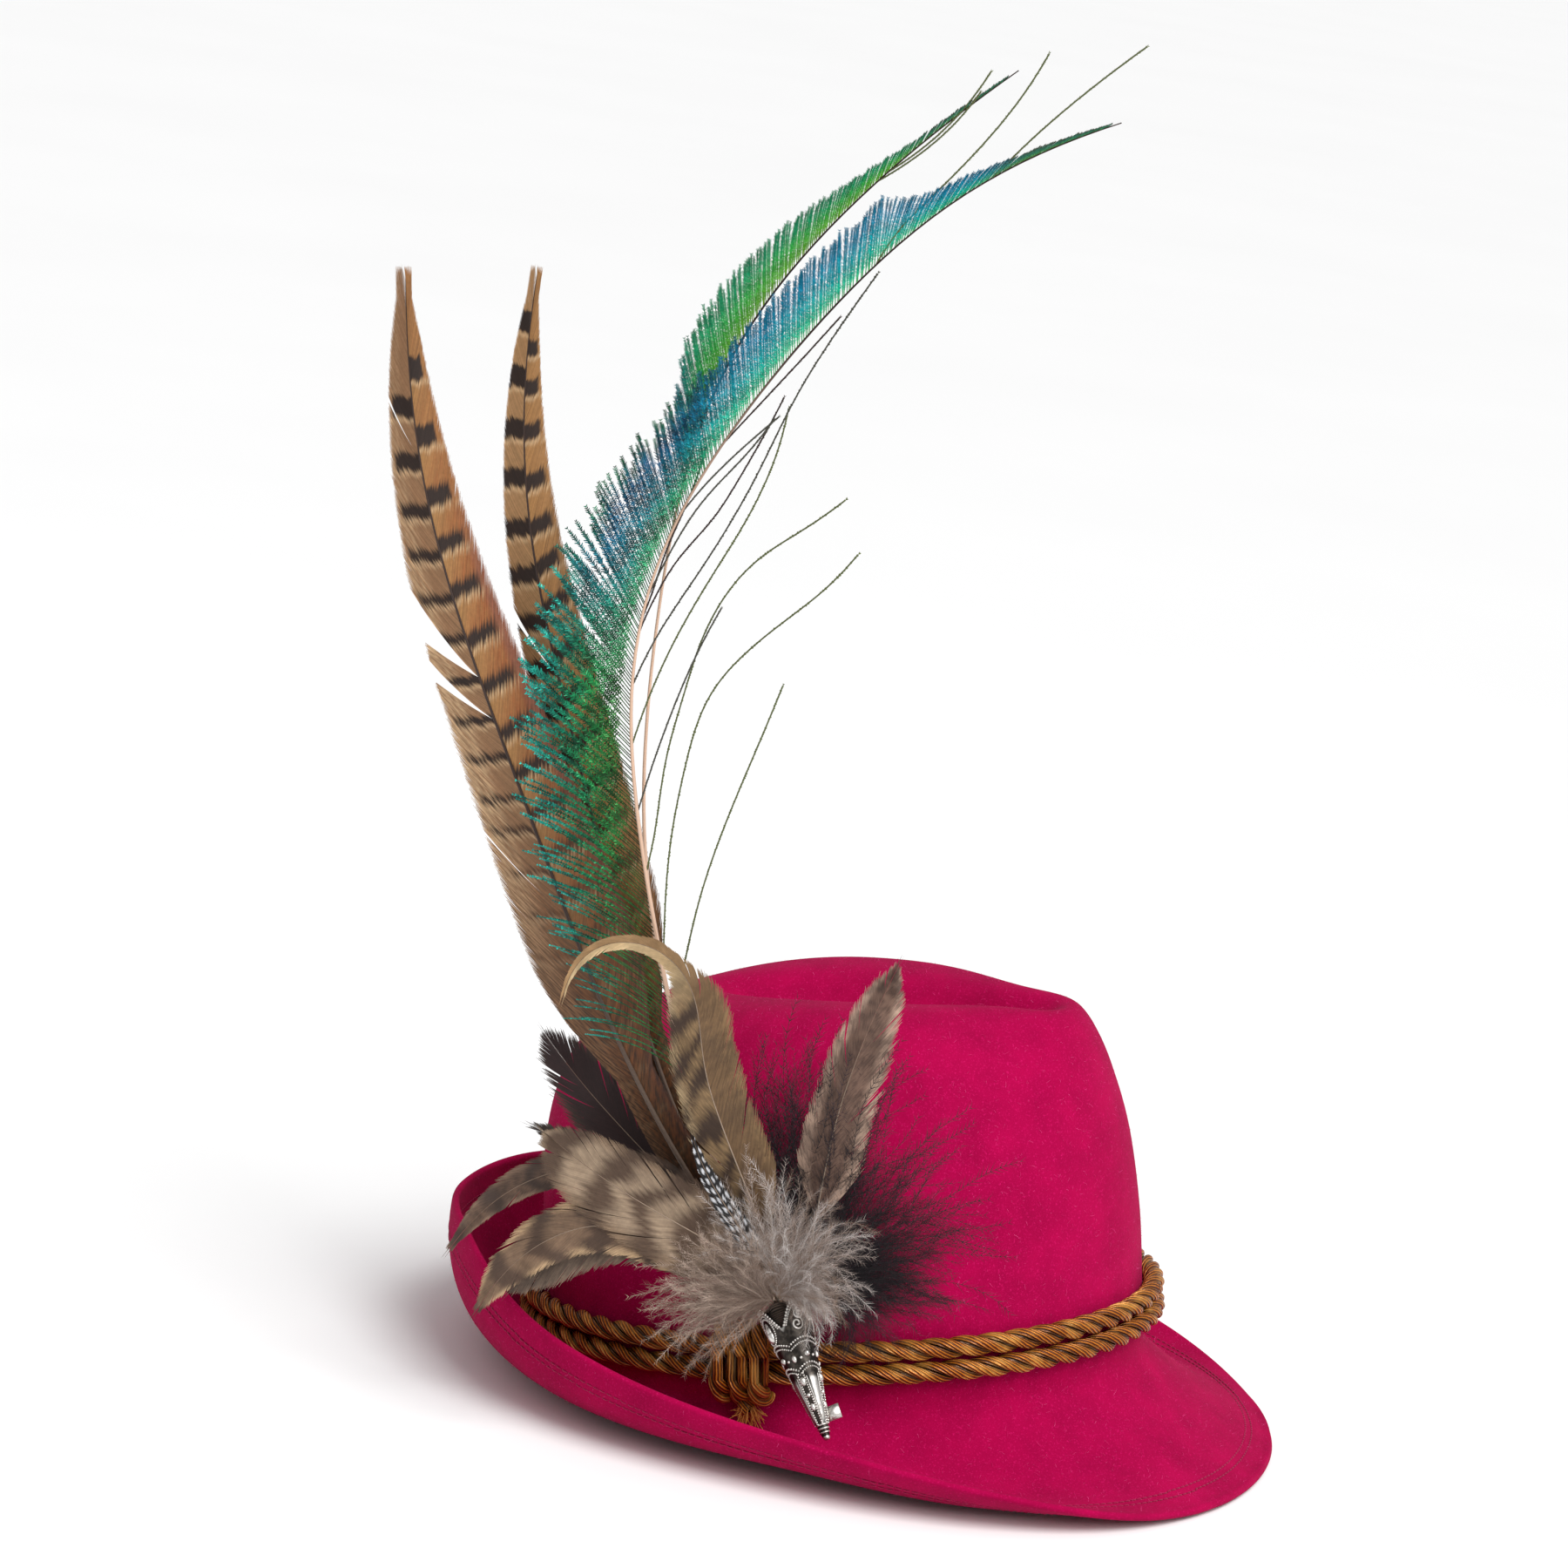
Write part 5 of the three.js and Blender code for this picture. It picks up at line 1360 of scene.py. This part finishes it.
# The camera's place on the hat as worn: its azimuth and elevation round the wearer's right, its
# distance, and where the picture's middle lies beside and above the origin.
CAMERA_TURN = 12
CAMERA_RISE = 10
CAMERA_DISTANCE = 1800
CAMERA_ASIDE = -18.3
CAMERA_ABOVE = 172.5
PIXELS_PER_UNIT = 6480
PICTURE = 1800
SENSOR = 36


def add_camera():
    d, e = math.radians(CAMERA_TURN), math.radians(CAMERA_RISE)
    back = np.array([-math.cos(d) * math.cos(e), -math.sin(d) * math.cos(e), math.sin(e)])
    right = np.array([math.sin(d), -math.cos(d), 0])
    above = np.array([math.cos(d) * math.sin(e), math.sin(d) * math.sin(e), math.cos(e)])
    place = CAMERA_ASIDE * right + CAMERA_ABOVE * above + CAMERA_DISTANCE * back
    lens = bpy.data.cameras.new("camera")
    lens.sensor_width = SENSOR
    lens.lens = SENSOR * PIXELS_PER_UNIT / PICTURE
    lens.clip_end = 100
    camera = add_object("camera", lens)
    axes = Matrix([pitched(axis) for axis in (right, above, back)]).transposed()
    camera.matrix_world = Matrix.Translation(placed(place)) @ axes.to_4x4()
    bpy.context.scene.camera = camera


def find_shift():
    """The move that sets the leant hat down in the frame."""
    outer, edge, inner, floor = felt_skins(*COARSE)
    points = pitched(np.concatenate([outer, edge, inner]).reshape(-1, 3))
    low, high = (np.array(corner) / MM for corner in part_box("felt_body"))
    shift = (low + high) / 2 - (points.min(0) + points.max(0)) / 2
    shift[2] = -floor
    return shift


SHIFT = find_shift()
add_camera()
set_stage()
add_light("sky_panel", "SUN", (-0.35, -0.5, 1.0), (0, 0, 0), 2.15, angle=math.radians(40))
add_light("key", "AREA", (-1.2, -1.2, 1.2), (0, 0, 0.1), 14, size=1.0)

felt_body()
wool = fibre_material("wool_fibres", 0.9, 0.08)
rim_seams(wool)
felt_nap(wool)
rope_cloth = rope_material()
rope_band("rope_lower", 0, rope_cloth)
rope_band("rope_upper", 1, rope_cloth)
knot(rope_cloth)
frayed_end(fibre_material("rope_yarns", 0.5, 0.2))
pin(silver_material())
binding(fibre_material("binding_thread", 0.7, 0.1))
satin = feather_material("pheasant_barbs", 0.55, 0.15)
soft = feather_material("hackle_barbs", 0.7, 0.25)
dark = feather_material("dark_barbs", 0.6, 0.15)
vane_materials = {"pheasant": satin, "hackle": soft, "dark_feather": dark}
for row in FEATHERS:
    feather(row, vane_materials[row.slot])
herl = fibre_material("peacock_herl", 0.4, 0.0, 0.35)
for row in SWORDS:
    sword(row, herl)
down = fibre_material("down_hairs", 0.9, 0.3)
for row in TUFTS:
    tuft(row, down if row.slot == "down" else dark)
